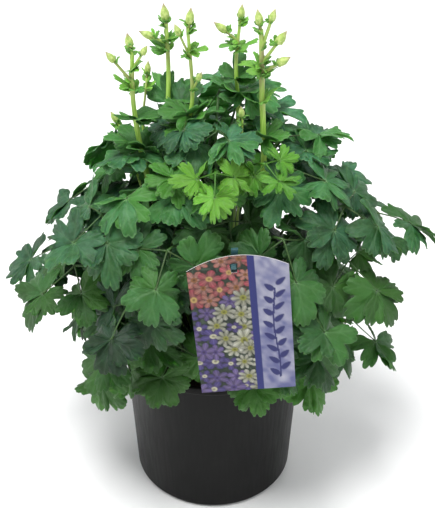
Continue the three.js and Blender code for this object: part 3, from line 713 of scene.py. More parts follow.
def turned_leaflet(leaflet, pitch, roll):
    """The leaflet's frame, pitched and rolled a little about its base."""
    side = Vector(leaflet["side"])
    pitched = Matrix.Rotation(math.radians(pitch), 3, side)
    forward = pitched @ Vector(leaflet["forward"])
    rolled = Matrix.Rotation(math.radians(roll), 3, forward)
    normal = rolled @ pitched @ Vector(leaflet["normal"])
    turned_axes = {"forward": forward, "normal": normal, "side": normal.cross(forward)}
    return {**leaflet, **{name: np.array(axis) for name, axis in turned_axes.items()}}


def add_leaflet(shape, leaflet, draw, light, fresh, finish=0, growth=1.0, slim=1.0, depth=0.3, limp=1.0,
                grid=FINE_GRID):
    """Adds one bent fan, a little turned from its frame, and kept behind the label's card."""
    leaflet = turned_leaflet(leaflet, draw.uniform(-20, 13) * limp, draw.uniform(-23, 23) * limp)
    columns, rows = grid
    angles = np.linspace(-HALF_FAN, HALF_FAN, TEETH * columns + 1)
    radii = margin_radii(angles, draw, depth, limp) * growth
    bent = angles + 3 * np.sin(np.radians(angles * 2.2) + draw.uniform(0, 6))
    v = np.linspace(FAN_START, 1, rows + 1)[:, None]
    length, width = leaflet["length"], leaflet["width"] * slim
    p = v * radii * np.cos(np.radians(bent)) - BASE_REACH / length * (1 - v) ** 3
    q = v * radii * np.sin(np.radians(bent)) * width / (0.5 * width + 0.6 * length)
    relief = leaflet_bends(p, q, v, angles, draw, limp)
    top = leaflet["base"] + length * (p[..., None] * leaflet["forward"] + q[..., None] * leaflet["side"]
                                      + relief[..., None] * leaflet["normal"])
    top = behind_card(top)
    uv = uv_grid((angles + HALF_FAN) / (2 * HALF_FAN), v[:, 0])
    shape.shell(top, leaflet["normal"], LEAFLET_THICKNESS, uv, np.array([light, fresh, 0, 0]), finish)


trial = Shape()
add_leaflet(trial, example, np.random.default_rng(1), 0.5, 0.2)
print("A leaflet has", trial.count, "points and", len(trial.faces), "faces")


# %% [markdown]
# ## Whole leaves
# Each leaf becomes one piece: a round petiole that rises from the compost along the cubic read off the
# solid, three thin petiolules with a slight bow, and the leaflets. Leaves low in the mound are fresher
# green, those on its outside have the bluish bloom, and the shaded lower ends of the petioles are painted
# darker. Whole leaves also get painted light and shade by their tier: those at the top and crown of the
# mound are painted lighter, those inside, on the skirt and under it darker.

# %% Whole leaves
PETIOLE_RADII = (1.7, 1.05)
PETIOLULE_RADII = (0.7, 0.5)
KNUCKLE, LEAFLET_END = 1.0, 0.9
GROWTH, YOUNG_GROWTH, YOUNG_LIMP = 0.97, 1.06, 1.6
COMPOST_TOP = 148.0
# A tier's lightness is painted light and shade: the top and crown of the mound are painted lighter, the
# inner, skirt and under leaves darker.
TIER_LOOKS = {  # lightness, freshness and lobe depth
    "young": (0.5, 0.3, 0.40),
    "top": (1.35, 0.2, 0.48),
    "crown": (1.1, 0.2, 0.44),
    "inner": (0.4, 0.15, 0.34),
    "shoulder": (0.5, 0.12, 0.30),
    "skirt": (0.25, 0.15, 0.30),
    "under": (0.08, 0.45, 0.30),
    "rim": (0.5, 0.85, 0.28),
}
SHADED_TIERS = ("inner", "under", "rim")
# Painted light at the back of the top of the mound, and painted shade at its left foot.
PAINTED_BACK_LIGHT, PAINTED_FOOT_SHADE = 0.6, 0.26


def petiole_points(plan, steps=22):
    curve = np.stack([np.polyval(plan["cubic"][:, k], np.linspace(0, 1, steps)) for k in range(3)], -1)
    return np.concatenate([plan["root"][None], curve])


def add_leaf(shape, plan, draw, fresh, light, growth, depth, grid=FINE_GRID, limp=1.0):
    """Adds a petiole, a petiolule for each group and the group's leaflets."""
    path = petiole_points(plan)
    share = np.linspace(0, 1, len(path))
    radii = PETIOLE_RADII[0] + (PETIOLE_RADII[1] - PETIOLE_RADII[0]) * share
    height = np.clip((path[:, 2] - COMPOST_TOP) / 150, 0, 1)
    # The petiole's lightness is painted shade: it is darker low down, inside the mound.
    tint = np.stack([0.25 + 0.55 * height, 0 * height, 0 * height, 0.45 * (1 - height)], -1)
    shape.tube(path, radii, 8, tint, 1)
    hub = path[-1]
    for group in plan["groups"]:
        end = group["middle"]
        bow = np.mean([leaflet["normal"] for leaflet in group["leaflets"]], axis=0)
        s = np.linspace(0, 1, 9)
        stalk = hub + np.outer(s, end - hub) + np.outer(np.sin(np.pi * s) * draw.uniform(-0.8, 1.2), bow)
        girth = np.interp(s, [0, 0.1, 0.9, 1], [KNUCKLE, *PETIOLULE_RADII, LEAFLET_END])
        shape.tube(stalk, girth, 6, [0.6, 0, 0, draw.uniform(0, 0.25)], 1)
        for leaflet in group["leaflets"]:
            leaflet_light, leaflet_fresh = light + draw.uniform(-0.3, 0.3), fresh + draw.uniform(-0.25, 0.25)
            add_leaflet(shape, leaflet, draw, leaflet_light, leaflet_fresh,
                        growth=growth * draw.uniform(0.95, 1.05), depth=depth, limp=limp, grid=grid)


def painted_light_and_shade(hub):
    """Painted light and shade: how much lighter a leaf is painted at the top's back, and darker at the left
    foot, under the mound.
    """
    at_foot = hub[0] < 0 and hub[1] < 0 and hub[2] < 290 and np.hypot(hub[0], hub[1]) < 128
    at_back = np.clip(hub[1] / 40, 0, 1) * np.clip((hub[2] - 300) / 30, 0, 1)
    return PAINTED_BACK_LIGHT * at_back - PAINTED_FOOT_SHADE * at_foot


for index, name in enumerate(leaf_names):
    draw = np.random.default_rng(500 + index)
    shape = Shape()
    tier = name.split("_")[0]
    young = tier == "young"
    growth, limp = (YOUNG_GROWTH, YOUNG_LIMP) if young else (GROWTH, 1.0)
    light, fresh, depth = TIER_LOOKS[tier]
    # Painted light at the back of the top, and painted shade at the left foot under the overhang.
    light += painted_light_and_shade(petiole_points(plans[name])[-1])
    grid = SHADED_GRID if tier in SHADED_TIERS else FINE_GRID
    fresh, light = fresh + draw.uniform(-0.2, 0.75), light + draw.uniform(-0.2, 0.2)
    add_leaf(shape, plans[name], draw, fresh, light, growth, depth + draw.uniform(-0.06, 0.08), grid, limp)
    materials = [YOUNG_LEAF, YOUNG_PETIOLE] if young else [GROWN_LEAF, PETIOLE]
    shape.piece("dressed_" + name, materials, [name], "young_leaf" if young else "leaf")
print("Leaves made:", len(leaf_names))

# %% [markdown]
# ## Leaves inside the mound
# A columbine has more leaves than its outline shows: small ones fill the shade inside the mound, and stop
# the eye from seeing through it. They are set by trial. A leaf is drawn at random inside the mound, and
# kept only if nine points on each of its leaflets are 6 mm or more from those on the leaflets already
# there. So they settle in the larger gaps, though an edge or a stalk may still cross a neighbour. A k-d
# tree of points on the leaflets answers at once how far the nearest one is, so thousands of trials take
# seconds.

# %% Try leaves inside the mound
INNER_CLEARANCE = 6.0
INNER_LEAFLET = 24.0
INNER_STALK = 22.0
MOUND_REACH = ((190, 66), (240, 88), (290, 94), (340, 78), (385, 48), (405, 30))
SPOTS = ((0.1, 0), (0.55, 0), (1, 0), (0.5, 0.32), (0.5, -0.32), (0.85, 0.3), (0.85, -0.3),
         (0.3, 0.45), (0.3, -0.45))  # along the leaflet's length and across its width


def leaflet_spots(leaflet):
    """Nine points spread over a leaflet."""
    along, side = leaflet["forward"] * leaflet["length"], leaflet["side"] * leaflet["width"]
    return [leaflet["base"] + along * p + side * q for p, q in SPOTS]


def spot_tree(spots):
    tree = KDTree(len(spots))
    for index, spot in enumerate(spots):
        tree.insert(spot, index)
    tree.balance()
    return tree


def inner_leaf_plan(draw, tree):
    """A whole leaf's plan, of three groups of three leaflets, somewhere inside the mound, or None."""
    height, azimuth = draw.uniform(MOUND_REACH[0][0], MOUND_REACH[-1][0]), draw.uniform(0, 360)
    reach = float(np.interp(height, *np.array(MOUND_REACH).T)) * math.sqrt(draw.uniform(0.15, 1))
    hub = outward(azimuth) * reach + np.array([0, 0, height])
    tilt = math.radians(draw.uniform(15, 55))
    out = outward(azimuth + draw.uniform(-35, 35))
    forward = out * math.cos(tilt) - np.array([0, 0, math.sin(tilt)])
    normal = out * math.sin(tilt) + np.array([0, 0, math.cos(tilt)])
    groups = []
    for turn in (0, 80, -80):
        way = rotated(forward, normal, turn + draw.uniform(-8, 8))
        hinge = np.cross(normal, way)
        start = hub + rotated(way, hinge, draw.uniform(0, 16)) * INNER_STALK
        leaflets = []
        for spread in (0, 84, -84):
            along = rotated(rotated(way, normal, spread), hinge, draw.uniform(4, 22))
            upright = unit(normal - along * normal.dot(along))
            size = INNER_LEAFLET * draw.uniform(0.85, 1.05)
            leaflet = {"base": start + along * LEAFLET_SET_OFF, "forward": along, "normal": upright,
                       "side": np.cross(upright, along), "length": size, "width": size * 1.1}
            if any(tree.find(spot)[2] < INNER_CLEARANCE for spot in leaflet_spots(leaflet)):
                return None
            leaflets.append(leaflet)
        groups.append({"leaflets": leaflets, "middle": start})
    foot = outward(azimuth) * draw.uniform(8, 50) + np.array([0, 0, COMPOST_TOP])
    bend = foot + (hub - foot) * np.array([0.25, 0.25, 0.75])
    s = np.linspace(0, 1, 4)[:, None]
    cubic = np.polyfit(s[:, 0], (1 - s) ** 2 * foot + 2 * s * (1 - s) * bend + s * s * hub, 3)
    return {"root": foot - np.array([0, 0, 10.0]), "cubic": cubic, "groups": groups}


def plan_spots(plan):
    leaflets = [leaflet for group in plan["groups"] for leaflet in group["leaflets"]]
    return [spot for leaflet in leaflets for spot in leaflet_spots(leaflet)]


all_spots = [spot for plan in plans.values() for spot in plan_spots(plan)]
print("Points on the leaflets so far:", len(all_spots))

# %% Leaves inside the mound
INNER_LEAVES = 30
INNER_PIECES = 2
INNER_TRIALS = 9000
draw = np.random.default_rng(31)
taken = all_spots
spots_near = spot_tree(taken)
inner_plans = []
for _ in range(INNER_TRIALS):
    plan = inner_leaf_plan(draw, spots_near)
    if plan:
        taken += plan_spots(plan)
        spots_near = spot_tree(taken)
        inner_plans.append(plan)
    if len(inner_plans) == INNER_LEAVES:
        break
for part in range(INNER_PIECES):
    shape = Shape()
    for plan in inner_plans[part::INNER_PIECES]:
        # Painted light: inner leaves are painted lighter the higher they sit.
        painted_height_light = 0.5 * np.clip((plan["groups"][0]["middle"][2] - 280) / 80, 0, 1)
        add_leaf(shape, plan, draw, draw.uniform(0, 0.4), painted_height_light + draw.uniform(0, 0.3), 0.98, 0.3, PLAIN_GRID)
    shape.piece(f"inner_leaves_{part + 1}", [GROWN_LEAF, PETIOLE], [], "leaf")
print("Leaves inside the mound:", len(inner_plans))

# %% [markdown]
# ## Flowering stems
# A flowering stem is ribbed, pale green, and flushed purple-brown where branches leave it. Its buds are
# five pointed sepals folded together, with the start of a spur at the base of each, and small lobed bracts
# stand under them. The lowest bracts are as large as small leaves, and as green. The stems' routes and buds
# repeat the places that their solids were made with.

# %% Where the stems run
STEMS = [  # radius, path, buds (share of the path, place, size), bracts (share of the path, azimuth, length)
    (2.9, [[-16, 4, 148], [-44, -2, 277], [-59, -8, 355], [-66, -13, 422], [-65, -16, 469]],
     [(0.98, (-67, -17, 478), 0.95), (0.84, (-82, -20, 465), 0.85), (0.9, (-55, -20, 471), 0.75)],
     [(0.56, -75, 32), (0.67, 35, 25), (0.8, -110, 22), (0.9, 60, 18)]),
    (1.7, [[-8, 15, 148], [-38, 31, 274], [-61, 35, 357], [-57, 38, 414]],
     [(0.98, (-56, 39, 423), 0.8)], [(0.6, -165, 28), (0.94, 90, 14)]),
    (2.8, [[-2, 20, 148], [-24, 33, 285], [-38, 33, 368], [-38, 34, 428], [-39, 36, 467]],
     [(0.98, (-40, 36, 476), 1.1), (0.88, (-55, 33, 458), 0.95)],
     [(0.52, -38, 30), (0.6, 120, 30), (0.84, -112, 24), (0.9, 128, 20)]),
    (2.4, [[4, 8, 148], [-10, 5, 297], [-21, -1, 385], [-17, -3, 418], [-20, -8, 486]],
     [(0.98, (-18, -8, 495), 1.0), (0.9, (-28, -10, 484), 0.8), (0.78, (-11, -9, 441), 0.75)],
     [(0.54, 30, 30), (0.62, -60, 28), (0.92, 90, 18)]),
    (2.3, [[10, 18, 148], [19, 33, 284], [22, 35, 383], [20, 38, 430], [23, 40, 466]],
     [(0.98, (24, 40, 475), 0.9), (0.88, (7, 38, 462), 0.95)],
     [(0.58, -20, 30), (0.66, 100, 28), (0.82, 90, 24), (0.86, -80, 18)]),
    (3.3, [[18, -6, 148], [40, -4, 274], [44, -5, 336], [41, -9, 428], [39, -12, 486]],
     [(0.98, (37, -12, 496), 0.95), (0.92, (48, -13, 498), 0.85), (0.86, (55, -16, 480), 1.05),
      (0.82, (57, -17, 460), 1.0)],
     [(0.5, 112, 34), (0.62, 60, 26), (0.72, 95, 22), (0.8, 80, 22), (0.84, -80, 24)]),
    (1.5, [[12, 2, 148], [22, -5, 299], [25, -14, 403]], [(0.98, (24, -15, 411), 0.75)], []),
    (1.5, [[-22, -4, 148], [-61, 20, 301], [-82, 26, 374]], [(0.98, (-86, 27, 381), 0.75)], []),
]


def stem_point(path, share):
    """A point on the centripetal Catmull-Rom curve through the path."""
    path = np.asarray(path, float)
    knots = np.concatenate([[2 * path[0] - path[1]], path, [2 * path[-1] - path[-2]]])
    where = min(share * (len(path) - 1), len(path) - 1 - 1e-9)
    i = int(where)
    p = knots[i:i + 4]
    t = np.concatenate([[0], np.cumsum(np.sqrt(np.linalg.norm(np.diff(p, axis=0), axis=1)))])
    at = t[1] + (where - i) * (t[2] - t[1])
    a = [(p[k] * (t[k + 1] - at) + p[k + 1] * (at - t[k])) / (t[k + 1] - t[k]) for k in range(3)]
    b = [(a[k] * (t[k + 2] - at) + a[k + 1] * (at - t[k])) / (t[k + 2] - t[k]) for k in range(2)]
    return (b[0] * (t[2] - at) + b[1] * (at - t[1])) / (t[2] - t[1])


print("Tips of the stems:", [stem_point(path, 1).round().tolist() for _, path, _, _ in STEMS])

# %% A bud and a bract
BUD_OUTLINE = ((-8.0, 0.8), (-6.6, 1.6), (-4.6, 3.1), (-2.2, 3.9), (1.0, 3.8), (4.0, 2.8), (7.0, 1.5),
               (9.2, 0.5), (9.8, 0.2))  # place along the bud, radius
BUD_RINGS, BUD_SIDES, SEPALS = 22, 30, 5
BUD_TWIST = 0.035
RIDGE_HEIGHT, SPUR_HEIGHT, SPUR_PLACE = 0.13, 0.35, -4.8
SMALL_BRACT = 12
# The bracts' lightness is painted light: the leaf-sized ones are painted lighter than the small ones.
BRACT_LOOKS = {  # for leaf-sized bracts or small ones: lightness, freshness, finish, width, slimness
    True: ((0.8, 1.3), (0.5, 1.0), 3, 1.0, 0.95),
    False: ((0.4, 0.95), (0, 0.8), 2, 0.75, 0.7),
}


def across(v):
    """Two directions square to v and to each other."""
    first = unit(np.cross(v, [0.3, 0.2, 1.0] if abs(v[2]) < 0.9 else [1.0, 0, 0]))
    return first, np.cross(v, first)


def add_bud(shape, at, along, size, draw):
    """Adds five folded sepals: a twisted, ridged skin, with a row of short spurs near its base."""
    s, r = np.array(BUD_OUTLINE).T
    fine = np.linspace(s[0], s[-1], BUD_RINGS)
    radius = np.interp(fine, s, r)
    radius[1:-1] = (radius[:-2] + 2 * radius[1:-1] + radius[2:]) / 4
    turn = np.linspace(0, 2 * np.pi, BUD_SIDES, endpoint=False)
    first, second = across(along)
    spiral = turn[None, :] + (fine[:, None] - s[0]) * BUD_TWIST
    fading = np.clip((10 - fine[:, None]) / 8, 0, 1)
    ridge = 1 + RIDGE_HEIGHT * (np.abs(np.cos(spiral * SEPALS / 2)) - 0.5) * fading
    at_spur = np.exp(-(((fine[:, None] - SPUR_PLACE) / 1.5) ** 2))
    spur = SPUR_HEIGHT * at_spur * np.clip(np.cos(spiral * SEPALS), 0, 1)
    girth = radius[:, None] * (ridge + spur) * size
    points = (at + (fine * size)[:, None, None] * along + (girth * np.cos(turn))[..., None] * first
              + (girth * np.sin(turn))[..., None] * second)
    tint = np.zeros((BUD_RINGS, BUD_SIDES, 4))
    tint[..., 3] = (np.clip((fine - 5) / 5, 0, 1) * draw.uniform(0.5, 1))[:, None]
    shape.rings(points, uv_grid(turn / 6.28, np.linspace(0, 1, BUD_RINGS)), tint, 1)


def add_bract(shape, at, out, rise, length, draw, leaf=False):
    """Adds a lobed bract that leaves a stem outward and upward."""
    light, fresh, finish, width, slim = BRACT_LOOKS[leaf]
    flat = unit(out - np.array([0, 0, out[2]]))
    forward = unit(flat * math.cos(rise) + np.array([0, 0, math.sin(rise)]))
    side = unit(np.cross([0, 0, 1.0], flat))
    bract = {"base": at, "forward": forward, "side": side, "normal": np.cross(forward, side),
             "length": length, "width": length * width}
    add_leaflet(shape, bract, draw, draw.uniform(*light), draw.uniform(*fresh), finish=finish, growth=0.98,
                slim=slim, depth=0.42, limp=0.8, grid=PLAIN_GRID if length > SMALL_BRACT else SMALL_GRID)


trial = Shape()
add_bud(trial, np.zeros(3), np.array([0, 0, 1.0]), 1.0, np.random.default_rng(1))
print("A bud has", trial.count, "points")

# %% Flowering stems
STEM_LEAF = 25
BUD_SHARE = 0.88
ROOTING_DEPTH = 14.0
STEM_RINGS = 44
FLUSH_PLACE, FLUSH_SPREAD, NODE_SPREAD = 0.84, 0.10, 0.014
BIG_FAN, SMALL_FAN = ((0, 1.0), (72, 0.86), (-68, 0.88)), ((0, 1.0), (62, 0.7), (-58, 0.72))  # turn, size


def bell(where, middle, spread):
    return np.exp(-(((where - middle) / spread) ** 2))


def add_stem(shape, radius, path, nodes_at, draw):
    """Adds the ribbed stem, swollen at its nodes and flushed there and near its top, and painted darker low
    down as painted shade.
    """
    points = np.array([stem_point(path, share) for share in np.linspace(0, 1, STEM_RINGS)])
    points = np.concatenate([[points[0] - unit(points[1] - points[0]) * ROOTING_DEPTH], points])
    where = np.linspace(0, 1, len(points))
    taper = radius * (1 - 0.5 * where) * 1.08
    swell = np.zeros(len(points))
    for share in nodes_at:
        swell += bell(where, share, NODE_SPREAD)
    flush = np.clip(0.4 * swell + 0.85 * bell(where, FLUSH_PLACE, FLUSH_SPREAD), 0, 0.8)
    # Painted shade: the stem's lightness is darker low down, inside the mound.
    low = np.clip((points[:, 2] - 200) / 160, 0, 1)
    tint = np.stack([0.4 + 0.6 * low, 0 * low, 0 * low, flush * draw.uniform(0.6, 1)], -1)
    shape.tube(points, taper * (1 + 0.14 * np.clip(swell, 0, 1)), 14, tint, 0, ribs=7, rib_depth=0.05)


def add_budded_branch(shape, start, place, radius, size, draw):
    """Adds a stalk, its bud, three bracts under the bud and two where the stalk leaves the stem."""
    along = unit(place - start)
    stalk = start + np.outer(np.linspace(0, 1, 8), place - along * 6.5 * size - start)
    shape.tube(stalk, np.linspace(radius * 0.5, radius * 0.4, 8), 8, [0.9, 0, 0, draw.uniform(0.3, 0.8)], 0)
    add_bud(shape, place, along, size, draw)
    first, second = across(along)
    for turn in draw.uniform(0, 6.28) + np.array([0, 2.1, 4.2]):
        out = first * math.cos(turn) + second * math.sin(turn) + np.array([0, 0, 0.01])
        rise, length = draw.uniform(0.9, 1.4), draw.uniform(8, 11) * size
        add_bract(shape, place - along * 8.5 * size, out, rise, length, draw)
    for turn in (draw.uniform(-50, -10), draw.uniform(10, 50)):
        out = rotated(unit(along * np.array([1, 1, 0.1])), (0, 0, 1), turn)
        add_bract(shape, start, out, draw.uniform(0.6, 1.1), draw.uniform(7, 11), draw)


for index, (radius, path, buds, bracts) in enumerate(STEMS):
    draw = np.random.default_rng(900 + index)
    shape = Shape()
    add_stem(shape, radius, path, [share for share, *_ in buds + bracts], draw)
    for share, place, size in buds:
        start, place = stem_point(path, share), np.array(place, float)
        add_budded_branch(shape, start, place, radius, size * BUD_SHARE, draw)
    for share, azimuth, length in bracts:
        leaf = length >= STEM_LEAF
        for turn, size in BIG_FAN if leaf else SMALL_FAN:
            add_bract(shape, stem_point(path, share), outward(azimuth + turn), draw.uniform(0.35, 0.9),
                      length * size * (1 if leaf else 0.8), draw, leaf)
    name = f"flower_stem_{index + 1}"
    shape.piece("dressed_" + name, [STEM, BUD, BRACT, GROWN_LEAF], [name], "stem")
print("Flowering stems made:", len(STEMS))

# %% [markdown]
# ## The pot
# A nursery pot is a thin shell of black recycled plastic, turned here from a profile: foot ring, tapered
# wall and a slightly thicker rim. Its six drain holes are cut with a boolean, because they cross the turned
# grid, and points that the cut leaves in one place are made one. The plastic is nearly black, with a satin
# sheen that fine vertical scuffs and a little dust break up.

# %% Turning a profile
POT_HEIGHT, RIM_RADIUS, WALL_TOP_RADIUS, FOOT_RADIUS = 165.0, 87.0, 84.5, 76.0
POT_WALL, RIM_DEPTH, FLOOR_RISE, BOSS_RADIUS = 1.6, 8.0, 4.0, 9.0


def inside_radius(z):
    return float(np.interp(z, [7, POT_HEIGHT], [FOOT_RADIUS - POT_WALL, WALL_TOP_RADIUS - POT_WALL]))


def rounded(profile, radius=0.8, steps=3):
    """The profile with each inner corner replaced by a short arc."""
    out = [profile[0]]
    for before, corner, after in zip(profile, profile[1:], profile[2:]):
        before, corner, after = (np.array(p, float) for p in (before, corner, after))
        reach = min(radius, 0.4 * np.linalg.norm(before - corner), 0.4 * np.linalg.norm(after - corner))
        a = corner + unit(before - corner) * reach
        b = corner + unit(after - corner) * reach
        for t in np.linspace(0, 1, steps):
            out.append(tuple((1 - t) ** 2 * a + 2 * t * (1 - t) * corner + t * t * b))
    return [*out, profile[-1]]


def turned(profile, sides, tint=(1, 0, 0, 0)):
    """A closed solid turned from a profile that starts and ends on the axis."""
    shape = Shape()
    turn = 2 * np.pi * np.arange(sides) / sides
    inner = np.array(profile[1:-1])
    rings = np.stack([np.outer(inner[:, 0], np.cos(turn)), np.outer(inner[:, 0], np.sin(turn)),
                      np.repeat(inner[:, 1:], sides, axis=1)], -1)
    uv = uv_grid(turn / (2 * np.pi), run_lengths(inner))
    n = len(inner)
    points = np.concatenate([rings.reshape(-1, 3), [[0, 0, profile[0][1]], [0, 0, profile[-1][1]]]])
    uvs = np.concatenate([uv.reshape(-1, 2), np.zeros((2, 2))])
    start = [[n * sides, (k + 1) % sides, k] for k in range(sides)]
    last = (n - 1) * sides
    end = [[n * sides + 1, last + k, last + (k + 1) % sides] for k in range(sides)]
    shape.add(points, uvs, tint, [*grid_faces(n, sides, around=True)[:, ::-1].tolist(), *start, *end], 0)
    return shape


print("The pot is", round(inside_radius(POT_HEIGHT), 1), "mm in radius inside its rim")

# %% The pot
DRAIN_HOLES, DRAIN_RADIUS, DRAIN_SIDES = 6, 5.0, 32
TURNED_SIDES = 160
SAME_PLACE = 1e-6


def pot_material():
    """Nearly black plastic with upright scuffs and a little dust."""
    material, tree, shader = new_material("black pot plastic", Specular_IOR_Level=0.09)
    scuffs = drawn_out_noise(tree, 420, 22, 4.0)
    dust = fade(tree, noise(tree, 26.0, 5.0, 0.65), 0.5, 0.8)
    scuffed = fade(tree, scuffs, 0.5, 0.85, 0.0, 0.4)
    colour = mix(tree, scuffed, (0.0030, 0.0030, 0.0028), (0.0075, 0.0073, 0.0068))
    colour = mix(tree, maths(tree, "MULTIPLY", dust, 0.3), colour, (0.012, 0.0112, 0.0096))
    tree.links.new(colour, shader.inputs["Base Color"])
    tree.links.new(fade(tree, scuffs, 0.3, 0.75, 0.38, 0.50), shader.inputs["Roughness"])
    relief = maths(tree, "MULTIPLY_ADD", scuffs, 0.3, noise(tree, 1400.0, 2.0))
    bump(tree, shader, relief, 0.2, 0.0003)
    return material


recess = FOOT_RADIUS - 12
pot_profile = [
    (0, 0), (BOSS_RADIUS, 0), (BOSS_RADIUS + 2, FLOOR_RISE), (recess - 3, FLOOR_RISE), (recess, 0),
    (FOOT_RADIUS - 3, 0), (FOOT_RADIUS, 4), (WALL_TOP_RADIUS, POT_HEIGHT - RIM_DEPTH),
    (RIM_RADIUS, POT_HEIGHT - RIM_DEPTH + 1), (RIM_RADIUS, POT_HEIGHT),
    (inside_radius(POT_HEIGHT), POT_HEIGHT), (inside_radius(7), 7),
    (FOOT_RADIUS - 6, FLOOR_RISE + POT_WALL), (0, FLOOR_RISE + POT_WALL),
]
pot = turned(rounded(pot_profile), TURNED_SIDES).piece("dressed_pot", [pot_material()], ["pot"], "pot")
drills = Shape()
for k in range(DRAIN_HOLES):
    middle = outward(360 * (k + 0.5) / DRAIN_HOLES) * recess * 0.7
    ends = [middle + np.array([0, 0, z]) for z in (-6.0, 14.0)]
    drills.tube(ends, [DRAIN_RADIUS] * 2, DRAIN_SIDES, [1, 0, 0, 0], 0)
drill = link(bpy.data.objects.new("drills", drills.mesh("drills")))
cut = pot.modifiers.new("drain holes", "BOOLEAN")
cut.object, cut.operation, cut.solver = drill, "DIFFERENCE", "EXACT"
bpy.context.view_layer.update()
cut_mesh = bpy.data.meshes.new_from_object(pot.evaluated_get(bpy.context.evaluated_depsgraph_get()))
pot.modifiers.clear()
pot.data = cut_mesh
bpy.data.objects.remove(drill)
edit_mesh(pot.data, lambda mesh: bmesh.ops.remove_doubles(mesh, verts=mesh.verts, dist=SAME_PLACE))
pot.data.set_sharp_from_angle(angle=math.radians(40))
print("Pot faces:", len(pot.data.polygons))

# %% [markdown]
# ## The compost
# Only spots of the compost show between the leaves: a dark bed with crumbs of peat and bark. The bed is
# turned with a bumpy top, and the crumbs are small lumps pressed into it, all in one piece.

# %% The compost
CRUMBS = 760
CRUMB_SIDES = 5
BED_RINGS, BED_SIDES = 34, 96
BED_GAP = 0.3
WAVES = ((0.11, 1.0), (0.23, 2.2), (0.47, 0.4), (0.9, 3.1))  # pitch and phase, from the broadest


def compost_material():
    """Dark grainy peat, and paler bark where the tint is light."""
    material, tree, shader = new_material("compost", Roughness=0.92, Specular_IOR_Level=0.25)
    light, *_ = tint_parts(tree)
    grain = noise(tree, 260.0, 5.0, 0.7)
    colour = mix(tree, fade(tree, grain, 0.35, 0.7), (0.010, 0.007, 0.005), (0.050, 0.032, 0.020))
    colour = mix(tree, light, colour, (0.11, 0.070, 0.042))
    tree.links.new(colour, shader.inputs["Base Color"])
    bump(tree, shader, grain, 0.9, 0.0015)
    return material


def bed_height(x, y):
    waves = sum(np.sin(x * f + a) * np.cos(y * f * 0.9 + 2 * a) / k
                for k, (f, a) in enumerate(WAVES, start=1))
    return -1.1 + 0.8 * waves


bed_edge = inside_radius(COMPOST_TOP - 2) - BED_GAP
bed_floor = FLOOR_RISE + POT_WALL + BED_GAP
bed_profile = [(0, bed_floor), (FOOT_RADIUS - 9, bed_floor), (inside_radius(12) - BED_GAP, 12),
               (bed_edge, COMPOST_TOP - 3)]
bed_profile += [(bed_edge * k / BED_RINGS, COMPOST_TOP) for k in range(BED_RINGS - 1, 0, -1)]
bed_profile += [(0, COMPOST_TOP)]
compost = turned(bed_profile, BED_SIDES, (0.15, 0, 0, 0))
bed = compost.points[0]
on_top = bed[:, 2] > COMPOST_TOP - 1
bed[on_top, 2] += bed_height(bed[on_top, 0], bed[on_top, 1])
draw = np.random.default_rng(77)
for _ in range(CRUMBS):
    angle, reach = draw.uniform(0, 2 * np.pi), (bed_edge - 3) * math.sqrt(draw.uniform(0, 1))
    x, y = reach * math.cos(angle), reach * math.sin(angle)
    size = draw.uniform(0.7, 2.2)
    lean = unit(draw.normal(size=3) * np.array([1, 1, 0.4]))
    middle = np.array([x, y, COMPOST_TOP + bed_height(x, y) + size * 0.1])
    s = np.linspace(-1, 1, 5)
    girth = size * draw.uniform(0.4, 0.75) * np.sqrt(1.12 - s * s)
    tint = [draw.uniform(0, 0.8) ** 2, 0, 0, 0]
    compost.tube(middle + np.outer(s * size, lean), girth, CRUMB_SIDES, tint, 0)
bed_piece = compost.piece("dressed_compost", [compost_material()], ["compost"], "compost")
print("Compost faces:", len(bed_piece.data.polygons))

# %% [markdown]
# ## The picture label
# The label is a thin plastic card that hangs by a slot on its stake. Its print isn't an image: each point
# of a fine grid on the card's face gets its colour from a formula, in a colour attribute. The picture is a
# drift of simple star-shaped and daisy-shaped flowers over dark foliage, beside a blue stripe and a clouded
# lilac panel with a plain sprig. There is no lettering on it.

# %% One printed flower
FLOWER_KINDS = {  # outer colour, inner colour, eye colour, petals
    "rose": ((0.50, 0.07, 0.11), (0.68, 0.30, 0.27), (0.55, 0.38, 0.13), 5),
    "coral": ((0.52, 0.17, 0.13), (0.70, 0.42, 0.36), (0.30, 0.13, 0.05), 6),
    "violet": ((0.085, 0.065, 0.27), (0.24, 0.19, 0.46), (0.62, 0.60, 0.42), 5),
    "lilac": ((0.17, 0.12, 0.35), (0.36, 0.28, 0.52), (0.10, 0.07, 0.22), 6),
    "cream": ((0.66, 0.66, 0.58), (0.52, 0.53, 0.30), (0.30, 0.30, 0.06), 8),
}


def clouds(x, y, step, draw):
    """Smooth noise from 0 to 1: random heights on a coarse grid, blended between."""
    coarse = draw.uniform(0, 1, (64, 64))
    gx, gy = (x - x.min()) / step, (y - y.min()) / step
    ix, iy = gx.astype(int) % 63, gy.astype(int) % 63
    fx, fy = (3 * f * f - 2 * f**3 for f in (gx % 1, gy % 1))
    low = coarse[iy, ix] * (1 - fx) + coarse[iy, ix + 1] * fx
    high = coarse[iy + 1, ix] * (1 - fx) + coarse[iy + 1, ix + 1] * fx
    return low * (1 - fy) + high * fy


def blend(colours, mask, colour):
    """Lays a colour over the print where the mask is 1."""
    colours += mask[..., None] * (np.asarray(colour) - colours)


